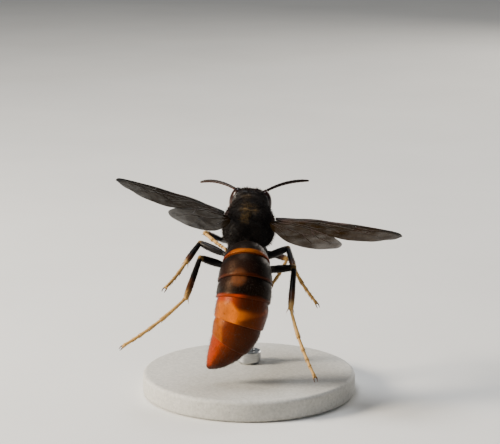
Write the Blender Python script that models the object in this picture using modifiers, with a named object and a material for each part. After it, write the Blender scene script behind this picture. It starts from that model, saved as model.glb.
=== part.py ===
# Asian hornet in flight, life size, held on a plain display stand.
# Sizes are in millimetres and angles in degrees; MM turns lengths into metres.
# The hornet is drawn in its own body frame (+Y ahead, +X its right side, +Z its back,
# origin in the middle of the thorax) and is then pitched, banked and lifted over the base.

import math

import bmesh
import bpy
from mathutils import Matrix, Quaternion, Vector, geometry

MM = 0.001
GAP = 0.3

# Flight attitude and height over the surface that the stand rests on.
NOSE_UP = 15.5
BANK_RIGHT = 7.0
THORAX_HEIGHT_OVER_FLOOR = 20.6

# Stand.
BASE_DIAMETER = 26.0
BASE_THICKNESS = 2.6
BASE_BEVEL = 0.5
BASE_CENTRE_Y = -2.4
ROD_DIAMETER = 1.3
ROD_Y = 1.1
ROD_TOP_BELOW_THORAX = 4.36
FERRULE_DIAMETER = 3.0
FERRULE_HEIGHT = 1.5
SEAT_GAP = 0.05

# Head.
HEAD_CENTRE = Vector((0.0, 5.05, 0.02))
HEAD_HALF_WIDTH = 2.45
HEAD_HALF_HEIGHT = 2.12
HEAD_FRONT_DEPTH = 1.15
HEAD_REAR_DEPTH = 1.15
EYE_CENTRE = Vector((1.95, 5.42, 0.33))
EYE_HALF_SIZE = Vector((0.74, 0.92, 1.54))
EYE_LEAN = 10.0

# Antennae.
ANTENNA_ROOT = Vector((0.6, 6.35, 0.45))
SCAPE_LENGTH = 2.0
FLAGELLUM_LENGTH = 6.2
FLAGELLUM_RINGS = 11

# Thorax.
THORAX_FRONT = 3.6
THORAX_REAR = -3.75
WAIST = Vector((0.0, -3.8, -1.0))
WING_ROOT = Vector((2.95, -0.35, 1.1))

# Wings.
WING_THICKNESS = 0.5
VEIN_RIDGE = 0.13
WING_SWEEP = {"left": 129.0, "right": 126.0}
WING_RAISE = {"left": 21.5, "right": 12.0}
WING_TWIST = {"left": 13.0, "right": 12.0}

# Leg part lengths for the pairs.
COXA_BASE = {"fore": Vector((0.9, 2.3, -1.9)), "mid": Vector((1.1, 0.1, -2.1)),
             "hind": Vector((1.25, -1.9, -1.9))}
COXA_TIP = {"fore": Vector((1.3, 2.7, -3.9)), "mid": Vector((1.9, -0.6, -4.7)),
            "hind": Vector((1.75, -3.2, -4.8))}
FEMUR_LENGTH = {"fore": 3.4, "mid": 4.4, "hind": 5.0}
TIBIA_LENGTH = {"fore": 3.1, "mid": 3.9, "hind": 6.0}
TARSUS_LENGTH = {"fore": 4.4, "mid": 5.2, "hind": 9.2}
TARSOMERES = (0.44, 0.19, 0.14, 0.09, 0.14)

# Pose: azimuth and elevation of each limb part in the body frame. A leg's rows are its femur,
# its tibia, and its tarsus where it starts and where it ends.
SIDE_NAMES = {-1: "left", 1: "right"}
ANTENNA_HEADINGS = {"left": ((49, 3), (50, 2), (44, -34)), "right": ((42, 8), (49, 14), (66, -6))}
LEG_HEADINGS = {
    ("fore", "left"): ((33, -30), (124, 29), (-148, -1), (-134, -1)),
    ("fore", "right"): ((36, -45), (118, 4), (-164, -20), (-150, -24)),
    ("mid", "left"): ((58, 2), (158, -15), (160, -18), (153, -8)),
    ("mid", "right"): ((51, 9), (167, -10), (142, -34), (135, -22)),
    ("hind", "left"): ((125, 27), (168, -27), (126, -40), (111, -31)),
    ("hind", "right"): ((113, 24), (180, -25), (162, -31), (148, -26)),
}


def direction(azimuth, elevation, side=1):
    # Azimuth 0 points ahead and 90 points out to the side; elevation 90 points up.
    az = math.radians(azimuth)
    el = math.radians(elevation)
    return Vector((side * math.sin(az) * math.cos(el), math.cos(az) * math.cos(el), math.sin(el)))


def mirrored(point, side):
    return Vector((point.x * side, point.y, point.z))


def mix(first, last, amount):
    return first + (last - first) * amount


def spline(rows, at):
    # Reads rows of (position, value, ...) at one position through a Catmull-Rom curve.
    last = len(rows) - 1
    index = 0
    while index < last - 1 and at > rows[index + 1][0]:
        index += 1
    before = rows[max(index - 1, 0)]
    start = rows[index]
    end = rows[index + 1]
    after = rows[min(index + 2, last)]
    span = end[0] - start[0]
    t = min(max((at - start[0]) / span, 0.0), 1.0)
    values = []
    for column in range(1, len(start)):
        slope_start = (end[column] - before[column]) / max(end[0] - before[0], 1e-9) * span
        slope_end = (after[column] - start[column]) / max(after[0] - start[0], 1e-9) * span
        t2 = t * t
        t3 = t2 * t
        values.append((2 * t3 - 3 * t2 + 1) * start[column] + (t3 - 2 * t2 + t) * slope_start
                      + (3 * t2 - 2 * t3) * end[column] + (t3 - t2) * slope_end)
    return values


def make_material(name, colour, roughness, metallic=0.0):
    material = bpy.data.materials.new(name)
    material.use_nodes = True
    shader = material.node_tree.nodes["Principled BSDF"]
    shader.inputs["Base Color"].default_value = (*colour, 1.0)
    shader.inputs["Roughness"].default_value = roughness
    shader.inputs["Metallic"].default_value = metallic
    material.diffuse_color = (*colour, 1.0)
    return material


def finish_mesh(bm, name, smooth_angle=40.0):
    bmesh.ops.recalc_face_normals(bm, faces=bm.faces)
    mesh = bpy.data.meshes.new(name)
    bmesh.ops.scale(bm, vec=(MM, MM, MM), verts=bm.verts)
    bm.to_mesh(mesh)
    bm.free()
    mesh.shade_smooth()
    mesh.set_sharp_from_angle(angle=math.radians(smooth_angle))
    return mesh


def add_object(name, mesh, material, parent=None):
    part = bpy.data.objects.new(name, mesh)
    mesh.materials.append(material)
    model.objects.link(part)
    part.parent = parent
    return part


def loft(rings):
    # A closed solid through rings of equally many points, capped at both ends.
    bm = bmesh.new()
    loops = [[bm.verts.new(point) for point in ring] for ring in rings]
    for near, far in zip(loops, loops[1:]):
        for index in range(len(near)):
            following = (index + 1) % len(near)
            bm.faces.new((near[index], near[following], far[following], far[index]))
    bm.faces.new(list(reversed(loops[0])))
    bm.faces.new(loops[-1])
    return bm


def section(centre, across, up, half_width, rise, drop, sides, squareness=2.0):
    points = []
    for index in range(sides):
        turn = math.tau * (index + 0.5) / sides
        x = math.copysign(abs(math.cos(turn)) ** (2 / squareness), math.cos(turn))
        z = math.copysign(abs(math.sin(turn)) ** (2 / squareness), math.sin(turn))
        points.append(centre + across * x * half_width + up * z * (rise if z > 0 else drop))
    return points


def shaped_ball(shape, around=24, along=14):
    bm = bmesh.new()
    bmesh.ops.create_uvsphere(bm, u_segments=around, v_segments=along, radius=1.0)
    for vert in bm.verts:
        vert.co = shape(vert.co.copy())
    return bm


def ellipsoid(centre, radii, around=20, along=12, turn=None):
    rotation = turn or Matrix.Identity(3)

    def shape(point):
        stretched = Vector((point.x * radii[0], point.y * radii[1], point.z * radii[2]))
        return Vector(centre) + rotation @ stretched
    return shaped_ball(shape, around, along)


def slid_to_plane(ring, along, plane, gap):
    # Moves a ring's points along the limb onto the mitre plane, short of it by the gap.
    joint, normal = plane
    face = joint + normal * gap
    return [point + along * ((face - point).dot(normal) / along.dot(normal)) for point in ring]


def tube(points, radii, sides, start_plane=None, end_plane=None):
    # A limb along points with a radius read at each: its ends are half balls, or flat on a
    # joint's mitre plane where one is given.
    rings = []
    count = len(points)
    up = (points[1] - points[0]).normalized().orthogonal()
    frames = []
    for index in range(count):
        ahead = points[min(index + 1, count - 1)] - points[max(index - 1, 0)]
        ahead.normalize()
        across = up.cross(ahead).normalized()
        up = ahead.cross(across).normalized()
        frames.append((ahead, across, up.copy()))

    def ring(index, radius, shift):
        ahead, across, upward = frames[index]
        return section(points[index] + ahead * shift, across, upward, radius, radius, radius,
                       sides)
    if not start_plane:
        for bend in (15.0, 50.0):
            angle = math.radians(bend)
            rings.append(ring(0, radii[0] * math.sin(angle), -radii[0] * math.cos(angle)))
    for index in range(count):
        rings.append(ring(index, radii[index], 0.0))
    if start_plane:
        rings[0] = slid_to_plane(rings[0], frames[0][0], start_plane, GAP / 2)
    if end_plane:
        rings[-1] = slid_to_plane(rings[-1], frames[-1][0], end_plane, -GAP / 2)
    else:
        for bend in (50.0, 15.0):
            angle = math.radians(bend)
            rings.append(ring(count - 1, radii[-1] * math.sin(angle),
                              radii[-1] * math.cos(angle)))
    return loft(rings)


def fuse(name, pieces, material, parent, solver="EXACT", cutters=()):
    # Unites closed pieces into one body, cuts it, and keeps its largest closed surface.
    group = bpy.data.collections.new(name + "_pieces")
    bpy.context.scene.collection.children.link(group)
    body = bpy.data.objects.new(name, finish_mesh(pieces[0], name))
    model.objects.link(body)
    for index, piece in enumerate(pieces[1:]):
        mesh = finish_mesh(piece, name + "_piece")
        group.objects.link(bpy.data.objects.new(f"{name}_piece_{index}", mesh))
    if len(pieces) > 1:
        union = body.modifiers.new("union", "BOOLEAN")
        union.operation = "UNION"
        union.operand_type = "COLLECTION"
        union.collection = group
        union.solver = solver
    removed = []
    for index, cutter in enumerate(cutters):
        tool = bpy.data.objects.new(f"{name}_cutter_{index}", finish_mesh(cutter, name + "_cutter"))
        tool.hide_render = True
        tool.display_type = "WIRE"
        tools.objects.link(tool)
        cut = body.modifiers.new(f"cut_{index}", "BOOLEAN")
        cut.operation = "DIFFERENCE"
        cut.object = tool
        cut.solver = solver
        removed.append(tool)
    graph = bpy.context.evaluated_depsgraph_get()
    fused = bpy.data.meshes.new_from_object(body.evaluated_get(graph))
    for helper in list(group.objects) + removed + [body]:
        bpy.data.objects.remove(helper)
    bpy.data.collections.remove(group)
    keep_largest(fused)
    fused.shade_smooth()
    fused.set_sharp_from_angle(angle=math.radians(35.0))
    fused.materials.clear()
    return add_object(name, fused, material, parent)


def keep_largest(mesh):
    bm = bmesh.new()
    bm.from_mesh(mesh)
    bm.verts.ensure_lookup_table()
    islands = []
    unseen = set(bm.verts)
    while unseen:
        stack = [unseen.pop()]
        island = []
        while stack:
            vert = stack.pop()
            island.append(vert)
            for edge in vert.link_edges:
                other = edge.other_vert(vert)
                if other in unseen:
                    unseen.remove(other)
                    stack.append(other)
        islands.append(island)
    islands.sort(key=len)
    for island in islands[:-1]:
        bmesh.ops.delete(bm, geom=island, context="VERTS")
    bm.to_mesh(mesh)
    bm.free()


def build_thorax(material, parent):
    # Sclerites as overlapping lobes, so that their sutures show as creases.
    pieces = [thorax_core()]
    pieces.append(ellipsoid((0.0, 2.15, 0.25), (2.72, 1.4, 2.15), 18, 10))
    pieces.append(ellipsoid((0.0, 0.75, 1.05), (2.45, 2.35, 1.95), 20, 12))
    pieces.append(ellipsoid((0.0, -2.5, 1.1), (1.8, 0.6, 0.8), 14, 8))
    for side in (-1, 1):
        pieces.append(ellipsoid((side * 0.62, -1.75, 1.72), (1.2, 0.82, 0.95), 14, 8))
        pieces.append(ellipsoid((side * 1.0, -2.3, -0.45), (1.7, 1.3, 1.85), 16, 10))
        pieces.append(ellipsoid((side * 1.5, 0.6, -0.95), (1.65, 1.9, 1.95), 16, 10))
        pieces.append(ellipsoid((side * 1.97, -1.42, -0.5), (1.22, 1.35, 1.75), 14, 8))
        pieces.append(ellipsoid((side * 2.62, 0.62, 1.3), (0.42, 0.62, 0.34), 12, 6))
        for pair in COXA_BASE:
            pieces.append(coxa(pair, side))
    return fuse("thorax", pieces, material, parent)


def thorax_core():
    rows = [(THORAX_FRONT, 0.8, 0.7, -0.7), (2.9, 1.6, 1.6, -1.7), (1.6, 2.55, 2.5, -2.5),
            (0.2, 2.8, 2.75, -2.75), (-1.4, 2.55, 2.4, -2.6), (-2.6, 2.05, 1.4, -2.25),
            (-3.4, 1.2, 0.1, -1.9), (THORAX_REAR, 0.62, -0.45, -1.55)]
    ascending = [(-row[0], *row[1:]) for row in rows]
    rings = []
    steps = 12
    for index in range(steps + 1):
        along = mix(-THORAX_FRONT, -THORAX_REAR, index / steps)
        half_width, top, bottom = spline(ascending, along)
        centre = Vector((0.0, -along, (top + bottom) / 2))
        half_height = (top - bottom) / 2
        rings.append(section(centre, Vector((1, 0, 0)), Vector((0, 0, 1)), half_width, half_height,
                             half_height, 20, 2.3))
    return loft(rings)


def joint_plane(joint, heading_in, heading_out):
    # The mitre plane that two limb parts share at a bent joint.
    return joint, (heading_in + heading_out).normalized()


def coxa_heading(pair, side):
    return mirrored(COXA_TIP[pair] - COXA_BASE[pair], side).normalized()


def coxa(pair, side):
    base = mirrored(COXA_BASE[pair], side)
    tip = mirrored(COXA_TIP[pair], side)
    femur_heading = direction(*LEG_HEADINGS[(pair, SIDE_NAMES[side])][0], side)
    plane = joint_plane(tip, coxa_heading(pair, side), femur_heading)
    points = [mix(base, tip, spot) for spot in (0.0, 0.35, 0.7, 1.0)]
    return tube(points, (0.74, 0.74, 0.6, 0.42), 10, end_plane=plane)


def build_head(material, parent):
    def skull(point):
        # Broad at the crown, drawn in towards the jaws, thick to near its edge.
        depth = HEAD_FRONT_DEPTH if point.y > 0 else HEAD_REAR_DEPTH
        x = point.x * HEAD_HALF_WIDTH
        y = math.copysign(abs(point.y) ** 0.6, point.y) * depth
        z = point.z * HEAD_HALF_HEIGHT
        if point.z < 0:
            x *= 1.0 - 0.36 * abs(point.z) ** 1.6
        z -= 0.14 * math.exp(-(point.x / 0.3) ** 2) * max(point.z, 0.0)
        return HEAD_CENTRE + Vector((x, y, z))
    pieces = [shaped_ball(skull, 24, 14)]
    pieces.append(ellipsoid((0.0, 5.85, -0.95), (1.4, 0.62, 1.0), 16, 10))
    pieces.append(ellipsoid((0.0, 5.96, 0.43), (0.62, 0.38, 0.72), 12, 8))
    for x, y, z in ((0.0, 5.5, 1.8), (-0.42, 5.15, 1.96), (0.42, 5.15, 1.96)):
        pieces.append(ellipsoid((x, y, z), (0.2, 0.2, 0.2), 8, 5))
    cutters = [eye_body(side, GAP) for side in (-1, 1)]
    cutters += [mandible_body(side, GAP) for side in (-1, 1)]
    return fuse("head", pieces, material, parent, cutters=cutters)


def eye_body(side, grow):
    half = EYE_HALF_SIZE + Vector((grow, grow, grow))
    lean = Matrix.Rotation(math.radians(-side * EYE_LEAN), 3, "Y")

    def kidney(point):
        # The inner front margin is drawn back at half height, as in a bean.
        notch = 0.34 * math.exp(-((point.z - 0.1) / 0.3) ** 2) * max(-point.x * side, 0.0)
        x = point.x * half.x + side * notch
        y = point.y * half.y
        z = point.z * half.z
        return mirrored(EYE_CENTRE, side) + lean @ Vector((x, y, z))
    return shaped_ball(kidney, 18, 12)


def mandible_body(side, grow):
    rows = [(0.0, 1.34, 5.55, -1.5, 0.52), (0.5, 1.12, 5.95, -2.1, 0.5),
            (1.0, 0.52, 6.15, -2.7, 0.34)]
    points = []
    radii = []
    for index in range(6):
        x, y, z, radius = spline(rows, index / 5)
        points.append(Vector((x * side, y, z)))
        radii.append(radius + grow)
    return tube(points, radii, 12)


def arc_points(start, first, last, length, steps):
    # Points along a limb whose heading turns evenly from first to last.
    turn = first.rotation_difference(last)
    points = [start.copy()]
    for index in range(steps):
        part = Quaternion().slerp(turn, (index + 0.5) / steps)
        points.append(points[-1] + (part @ first) * (length / steps))
    return points


def build_antenna(side, name, headings, scape_material, flagellum_material, parent):
    root = mirrored(ANTENNA_ROOT, side)
    scape_heading = direction(*headings[0], side)
    first = direction(*headings[1], side)
    last = direction(*headings[2], side)
    elbow = root + scape_heading * SCAPE_LENGTH
    plane = joint_plane(elbow, scape_heading, first)
    foot = root + scape_heading * 2 * GAP
    points = [mix(foot, elbow, spot) for spot in (0.0, 0.3, 0.7, 1.0)]
    bm = tube(points, (0.25, 0.28, 0.3, 0.28), 9, end_plane=plane)
    add_object(f"scape_{name}", finish_mesh(bm, f"scape_{name}"), scape_material, parent)
    points = arc_points(elbow, first, last, FLAGELLUM_LENGTH, FLAGELLUM_RINGS * 2)
    radii = []
    for index in range(len(points)):
        amount = index / (len(points) - 1)
        waist = 1.0 if index % 2 else 0.88
        radii.append(spline([(0.0, 0.27), (0.5, 0.31), (1.0, 0.26)], amount)[0] * waist)
    bm = tube(points, radii, 9, start_plane=plane)
    add_object(f"flagellum_{name}", finish_mesh(bm, f"flagellum_{name}", 60.0),
               flagellum_material, parent)


FEMUR_PROFILE = [(0.0, 0.38), (0.1, 0.42), (0.17, 0.34), (0.3, 0.46), (0.5, 0.53), (0.78, 0.5),
                 (1.0, 0.36)]
TIBIA_PROFILE = [(0.0, 0.32), (0.18, 0.36), (0.45, 0.41), (0.8, 0.43), (1.0, 0.34)]


def build_leg(pair, side, name, headings, materials, parent):
    femur_heading = direction(*headings[0], side)
    tibia_heading = direction(*headings[1], side)
    first = direction(*headings[2], side)
    last = direction(*headings[3], side)
    hip = mirrored(COXA_TIP[pair], side)
    knee = hip + femur_heading * FEMUR_LENGTH[pair]
    ankle = knee + tibia_heading * TIBIA_LENGTH[pair]
    hip_plane = joint_plane(hip, coxa_heading(pair, side), femur_heading)
    knee_plane = joint_plane(knee, femur_heading, tibia_heading)
    ankle_plane = joint_plane(ankle, tibia_heading, first)
    add_limb(f"femur_{name}", hip, knee, FEMUR_PROFILE, hip_plane, knee_plane, materials[0], parent)
    add_limb(f"tibia_{name}", knee, ankle, TIBIA_PROFILE, knee_plane, ankle_plane, materials[1],
             parent)
    build_tarsus(f"tarsus_{name}", ankle, first, last, TARSUS_LENGTH[pair], ankle_plane,
                 materials[2], parent)


def add_limb(name, start, end, profile, start_plane, end_plane, material, parent):
    points = [mix(start, end, spot) for spot, radius in profile]
    radii = [radius for spot, radius in profile]
    bm = tube(points, radii, 10, start_plane, end_plane)
    add_object(name, finish_mesh(bm, name, 60.0), material, parent)


def build_tarsus(name, start, first, last, length, plane, material, parent):
    # Five beads, each widening to its end, and two claws.
    path = arc_points(start, first, last, length, 40)
    points = []
    radii = []
    done = 0.0
    for number, share in enumerate(TARSOMERES):
        widest = 0.3 - 0.012 * number
        for spot, radius in ((0.06, 0.24), (0.55, widest * 0.93), (0.94, widest)):
            place = (done + share * spot) * 40 if points else 0.0
            index = min(int(place), 39)
            points.append(mix(path[index], path[index + 1], place - index))
            radii.append(radius)
        done += share
    pieces = [tube(points, radii, 8, start_plane=plane)]
    across = last.cross(Vector((0, 0, 1))).normalized()
    for side in (-1, 1):
        root = path[-1] - last * 0.15
        outward = (last + across * side * 0.8).normalized()
        inward = (last - across * side * 0.5 + Vector((0, 0, -0.8))).normalized()
        claw = arc_points(root, outward, inward, 0.95, 3)
        pieces.append(tube(claw, (0.17, 0.15, 0.11, 0.05), 5))
    fuse(name, pieces, material, parent)


# Rows along the gaster's underside line from the waist: distance, half width, height of the
# back over the line, depth of the belly under it.
GASTER_ENVELOPE = [(0.0, 0.55, 0.6, 0.5), (0.55, 1.35, 1.9, 0.75), (1.2, 2.25, 3.0, 1.0),
                   (2.6, 2.9, 3.8, 1.3), (4.4, 3.25, 4.1, 1.7), (6.0, 3.32, 4.0, 2.0),
                   (8.4, 3.2, 3.5, 2.2), (10.6, 2.95, 2.9, 2.2), (12.6, 2.45, 2.3, 1.9),
                   (14.0, 1.85, 1.75, 1.5), (15.4, 1.18, 1.12, 0.98), (16.6, 0.34, 0.32, 0.3)]
# Where each segment ends along that line, how steeply it hangs and how far it swings left.
GASTER_JOINTS = [(0.0, 32.0, -3.0), (2.6, 38.0, -3.0), (5.1, 46.0, -2.0), (7.2, 54.0, 1.0),
                 (9.9, 63.0, 10.0), (12.5, 74.0, 25.0), (16.6, 86.0, 38.0)]


def gaster_frame(distance):
    hang, swing = spline(GASTER_JOINTS, distance)
    hang = math.radians(hang)
    swing = math.radians(swing)
    straight = Vector((0.0, -math.cos(hang), -math.sin(hang)))
    back = Vector((0.0, -math.sin(hang), math.cos(hang)))
    heading = straight * math.cos(swing) - Vector((math.sin(swing), 0.0, 0.0))
    across = back.cross(heading).normalized()
    return heading, across, back


def gaster_line(distance):
    steps = max(int(distance * 20), 1)
    point = WAIST.copy()
    for index in range(steps):
        point += gaster_frame(distance * (index + 0.5) / steps)[0] * (distance / steps)
    return point


def build_gaster(materials, parent):
    for number in range(6):
        first = GASTER_JOINTS[number][0] + (GAP / 2 if number else GAP)
        last = GASTER_JOINTS[number + 1][0] - (GAP / 2 if number < 5 else 0.0)
        rings = []
        steps = 8 if number in (0, 5) else 5
        for index in range(steps + 1):
            amount = index / steps
            distance = mix(first, last, amount)
            half_width, rise, drop = spline(GASTER_ENVELOPE, distance)
            # Each plate is a little narrower in front, where it slides under the last.
            tuck = 1.0 if number == 0 else 0.955 + 0.045 * min(amount * 2.5, 1.0)
            rim = 0.97 if amount in (0.0, 1.0) and number < 5 else 1.0
            factor = tuck * rim
            heading, across, back = gaster_frame(distance)
            rings.append(section(gaster_line(distance), across, back, half_width * factor,
                                 rise * factor, drop * factor, 24, 2.1))
        name = f"gaster_{number + 1}"
        add_object(name, finish_mesh(loft(rings), name), materials[number], parent)


# Wing plan, right wing: x runs from the root to the forewing's tip, y towards the leading edge.
FOREWING_OUTLINE = [(0.15, 0.38), (3.0, 1.15), (7.0, 1.85), (11.0, 2.3), (14.0, 2.3), (16.4, 1.75),
                    (18.0, 0.8), (18.5, 0.0), (18.1, -1.0), (16.8, -2.05), (14.8, -2.8),
                    (12.6, -3.0), (10.2, -2.65), (7.0, -1.75), (3.5, -0.9), (0.6, -0.42)]
HINDWING_OUTLINE = [(0.5, -0.85), (3.5, -1.22), (7.0, -2.07), (10.2, -2.97), (12.0, -3.5),
                    (13.1, -4.2), (12.7, -5.2), (11.0, -5.95), (8.4, -6.1), (5.6, -5.4),
                    (3.2, -4.1), (1.5, -2.7), (0.55, -1.5)]
FOREWING_VEINS = {
    "costa": [(0.4, 0.15), (3.0, 0.85), (7.0, 1.53), (11.0, 1.98), (13.6, 2.0), (15.9, 1.6)],
    "stigma": [(9.6, 1.72), (11.4, 1.88)],
    "media": [(0.5, 0.0), (3.5, 0.35), (6.6, 0.62)],
    "basal": [(8.6, 1.55), (6.6, 0.62), (6.1, 0.1)],
    "radial": [(10.6, 1.8), (11.6, 1.0), (13.6, 0.85), (15.9, 1.6)],
    "discoidal_front": [(6.6, 0.62), (9.4, 0.4), (11.9, 0.1), (13.6, -0.35), (15.6, -0.7)],
    "submarginal_1": [(9.4, 0.4), (10.3, 1.0), (11.1, 1.25)],
    "submarginal_2": [(11.9, 0.1), (12.4, 0.88)],
    "submarginal_3": [(13.6, -0.35), (14.0, 0.95)],
    "cubital": [(0.6, -0.18), (3.5, -0.2), (6.1, 0.1), (8.6, -0.75), (10.6, -1.3)],
    "recurrent_1": [(9.4, 0.4), (8.6, -0.75)],
    "recurrent_2": [(11.9, 0.1), (10.6, -1.3), (10.3, -2.2)],
    "anal": [(0.8, -0.3), (4.0, -0.75), (7.2, -1.4), (8.6, -0.75)],
}
HINDWING_VEINS = {
    "costa": [(0.75, -1.05), (3.6, -1.52), (6.9, -2.36), (9.8, -3.2)],
    "radial": [(6.9, -2.36), (8.4, -3.2), (11.6, -4.4)],
    "cubital": [(1.0, -1.5), (4.0, -2.6), (6.6, -3.3), (8.4, -3.2)],
    "cubital_end": [(6.6, -3.3), (9.4, -5.0)],
    "anal": [(0.9, -1.7), (3.2, -3.1), (5.4, -4.5)],
}
VEIN_HALF_WIDTH = 0.2


def smooth_path(points, spacing, closed=False):
    count = len(points)
    rows = []
    travelled = 0.0
    order = list(range(count)) + ([0] if closed else [])
    if closed:
        order = [count - 2, count - 1] + order + [1, 2]
    previous = None
    for index in order:
        point = Vector(points[index])
        if previous is not None:
            travelled += (point - previous).length
        rows.append((travelled, point.x, point.y))
        previous = point
    first = rows[2][0] if closed else 0.0
    last = rows[-3][0] if closed else travelled
    steps = max(int(round((last - first) / spacing)), 2)
    path = [Vector(spline(rows, mix(first, last, index / steps))) for index in range(steps + 1)]
    return path[:-1] if closed else path


def distance_to_path(point, path):
    nearest = 1e9
    for first, last in zip(path, path[1:]):
        foot, amount = geometry.intersect_point_line(point, first, last)
        foot = first if amount < 0 else last if amount > 1 else foot
        nearest = min(nearest, (point - foot.to_2d()).length)
    return nearest


def wing_camber(x, y):
    # The blade arches a little along the chord and lifts towards its tip.
    return 0.45 * math.cos(math.radians(y * 22.0)) * min(x / 6.0, 1.0) + 0.0022 * x * x


def build_wing(name, outline, veins, side, side_name, material, parent):
    border = smooth_path(outline, 1.25, closed=True)
    paths = [smooth_path(points, 1.6) for points in veins.values()]
    points = list(border)
    edges = [(index, (index + 1) % len(border)) for index in range(len(border))]
    for path in paths:
        first = len(points)
        points += path
        edges += [(first + index, first + index + 1) for index in range(len(path) - 1)]
        for flank in (-VEIN_HALF_WIDTH, VEIN_HALF_WIDTH):
            first = len(points)
            for index, point in enumerate(path):
                ahead = path[min(index + 1, len(path) - 1)] - path[max(index - 1, 0)]
                normal = Vector((-ahead.y, ahead.x)).normalized()
                points.append(point + normal * flank)
            edges += [(first + index, first + index + 1) for index in range(len(path) - 1)]
    plan = geometry.delaunay_2d_cdt(points, edges, [list(range(len(border)))], 1, 0.02)
    heights = []
    for point in plan[0]:
        nearest = min(distance_to_path(point, path) for path in paths)
        heights.append(VEIN_RIDGE * max(1.0 - nearest / VEIN_HALF_WIDTH, 0.0))
    bm = bmesh.new()
    layers = []
    for face in (1, -1):
        layer = []
        for point, height in zip(plan[0], heights):
            z = wing_camber(point.x, point.y) + face * (WING_THICKNESS / 2 + height)
            layer.append(bm.verts.new((point.x * side, point.y, z)))
        layers.append(layer)
    seen = {}
    for triangle in plan[2]:
        top = [layers[0][index] for index in triangle]
        bottom = [layers[1][index] for index in reversed(triangle)]
        bm.faces.new(top)
        bm.faces.new(bottom)
        for first, last in zip(triangle, triangle[1:] + triangle[:1]):
            key = (min(first, last), max(first, last))
            seen[key] = None if key in seen else (first, last)
    for rim in seen.values():
        if rim:
            first, last = rim
            bm.faces.new((layers[0][last], layers[0][first], layers[1][first], layers[1][last]))
    heading = direction(WING_SWEEP[side_name], WING_RAISE[side_name], side)
    leading = (Vector((0, 1, 0)) - heading * heading.y).normalized()
    twist = Quaternion(heading, math.radians(-side * WING_TWIST[side_name]))
    leading = twist @ leading
    out = heading * side
    placing = Matrix((out, leading, out.cross(leading))).transposed().to_4x4()
    placing.translation = mirrored(WING_ROOT, side)
    bm.transform(placing)
    node = f"{name}_{side_name}"
    return add_object(node, finish_mesh(bm, node, 50.0), material, parent)


def build_stand(base_material, metal_material):
    bm = bmesh.new()
    bmesh.ops.create_cone(bm, cap_ends=True, segments=48, radius1=BASE_DIAMETER / 2,
                          radius2=BASE_DIAMETER / 2, depth=BASE_THICKNESS)
    bmesh.ops.translate(bm, vec=(0, 0, BASE_THICKNESS / 2), verts=bm.verts)
    base = add_object("stand_base", finish_mesh(bm, "stand_base"), base_material)
    bevel = base.modifiers.new("edge", "BEVEL")
    bevel.width = BASE_BEVEL * MM
    bevel.segments = 2
    bevel.limit_method = "ANGLE"

    rod_y = ROD_Y - BASE_CENTRE_Y
    top = THORAX_HEIGHT_OVER_FLOOR - ROD_TOP_BELOW_THORAX
    foot = BASE_THICKNESS + SEAT_GAP
    bm = bmesh.new()
    bmesh.ops.create_cone(bm, cap_ends=True, segments=24, radius1=ROD_DIAMETER / 2,
                          radius2=ROD_DIAMETER / 2, depth=top - foot)
    bmesh.ops.translate(bm, vec=(0, rod_y, (top + foot) / 2), verts=bm.verts)
    add_object("stand_rod", finish_mesh(bm, "stand_rod"), metal_material)

    half = FERRULE_HEIGHT
    bore = ROD_DIAMETER / 2 + 0.1
    outer = FERRULE_DIAMETER / 2
    profile = [(outer, half), (outer, 0.25), (outer - 0.2, 0.0), (bore, 0.0), (bore, half)]
    turned_ring("stand_ferrule", profile, (0.0, rod_y, foot), metal_material)


def turned_ring(name, profile, place, material):
    bm = bmesh.new()
    verts = [bm.verts.new((x, 0.0, z)) for x, z in profile]
    edges = [bm.edges.new((verts[index], verts[(index + 1) % len(verts)]))
             for index in range(len(verts))]
    bmesh.ops.spin(bm, geom=verts + edges, axis=(0, 0, 1), cent=(0, 0, 0), steps=32,
                   angle=math.tau)
    bmesh.ops.remove_doubles(bm, verts=bm.verts, dist=0.001)
    bmesh.ops.translate(bm, vec=place, verts=bm.verts)
    add_object(name, finish_mesh(bm, name), material)


for item in list(bpy.data.objects):
    bpy.data.objects.remove(item)
model = bpy.data.collections.new("asian_hornet")
tools = bpy.data.collections.new("cutters")
bpy.context.scene.collection.children.link(model)
bpy.context.scene.collection.children.link(tools)

black = make_material("body_black", (0.012, 0.010, 0.010), 0.45)
orange = make_material("band_orange", (0.72, 0.30, 0.03), 0.4)
rust = make_material("tail_rust", (0.36, 0.10, 0.02), 0.4)
eye_brown = make_material("eye_brown", (0.035, 0.018, 0.012), 0.2)
jaw_orange = make_material("jaw_orange", (0.55, 0.22, 0.04), 0.4)
leg_black = make_material("leg_black", (0.02, 0.014, 0.012), 0.4)
tarsus_yellow = make_material("tarsus_yellow", (0.70, 0.42, 0.09), 0.45)
wing_smoke = make_material("wing_smoke", (0.14, 0.075, 0.035), 0.3)
stand_stone = make_material("stand_stone", (0.5, 0.5, 0.48), 0.6)
stand_steel = make_material("stand_steel", (0.6, 0.6, 0.6), 0.3, 1.0)

attitude = bpy.data.objects.new("flight_attitude", None)
model.objects.link(attitude)
attitude.location = (0.0, -BASE_CENTRE_Y * MM, THORAX_HEIGHT_OVER_FLOOR * MM)
bank = Matrix.Rotation(math.radians(BANK_RIGHT), 3, "Y")
pitch = Matrix.Rotation(math.radians(NOSE_UP), 3, "X")
attitude.rotation_euler = (bank @ pitch).to_euler()

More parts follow.
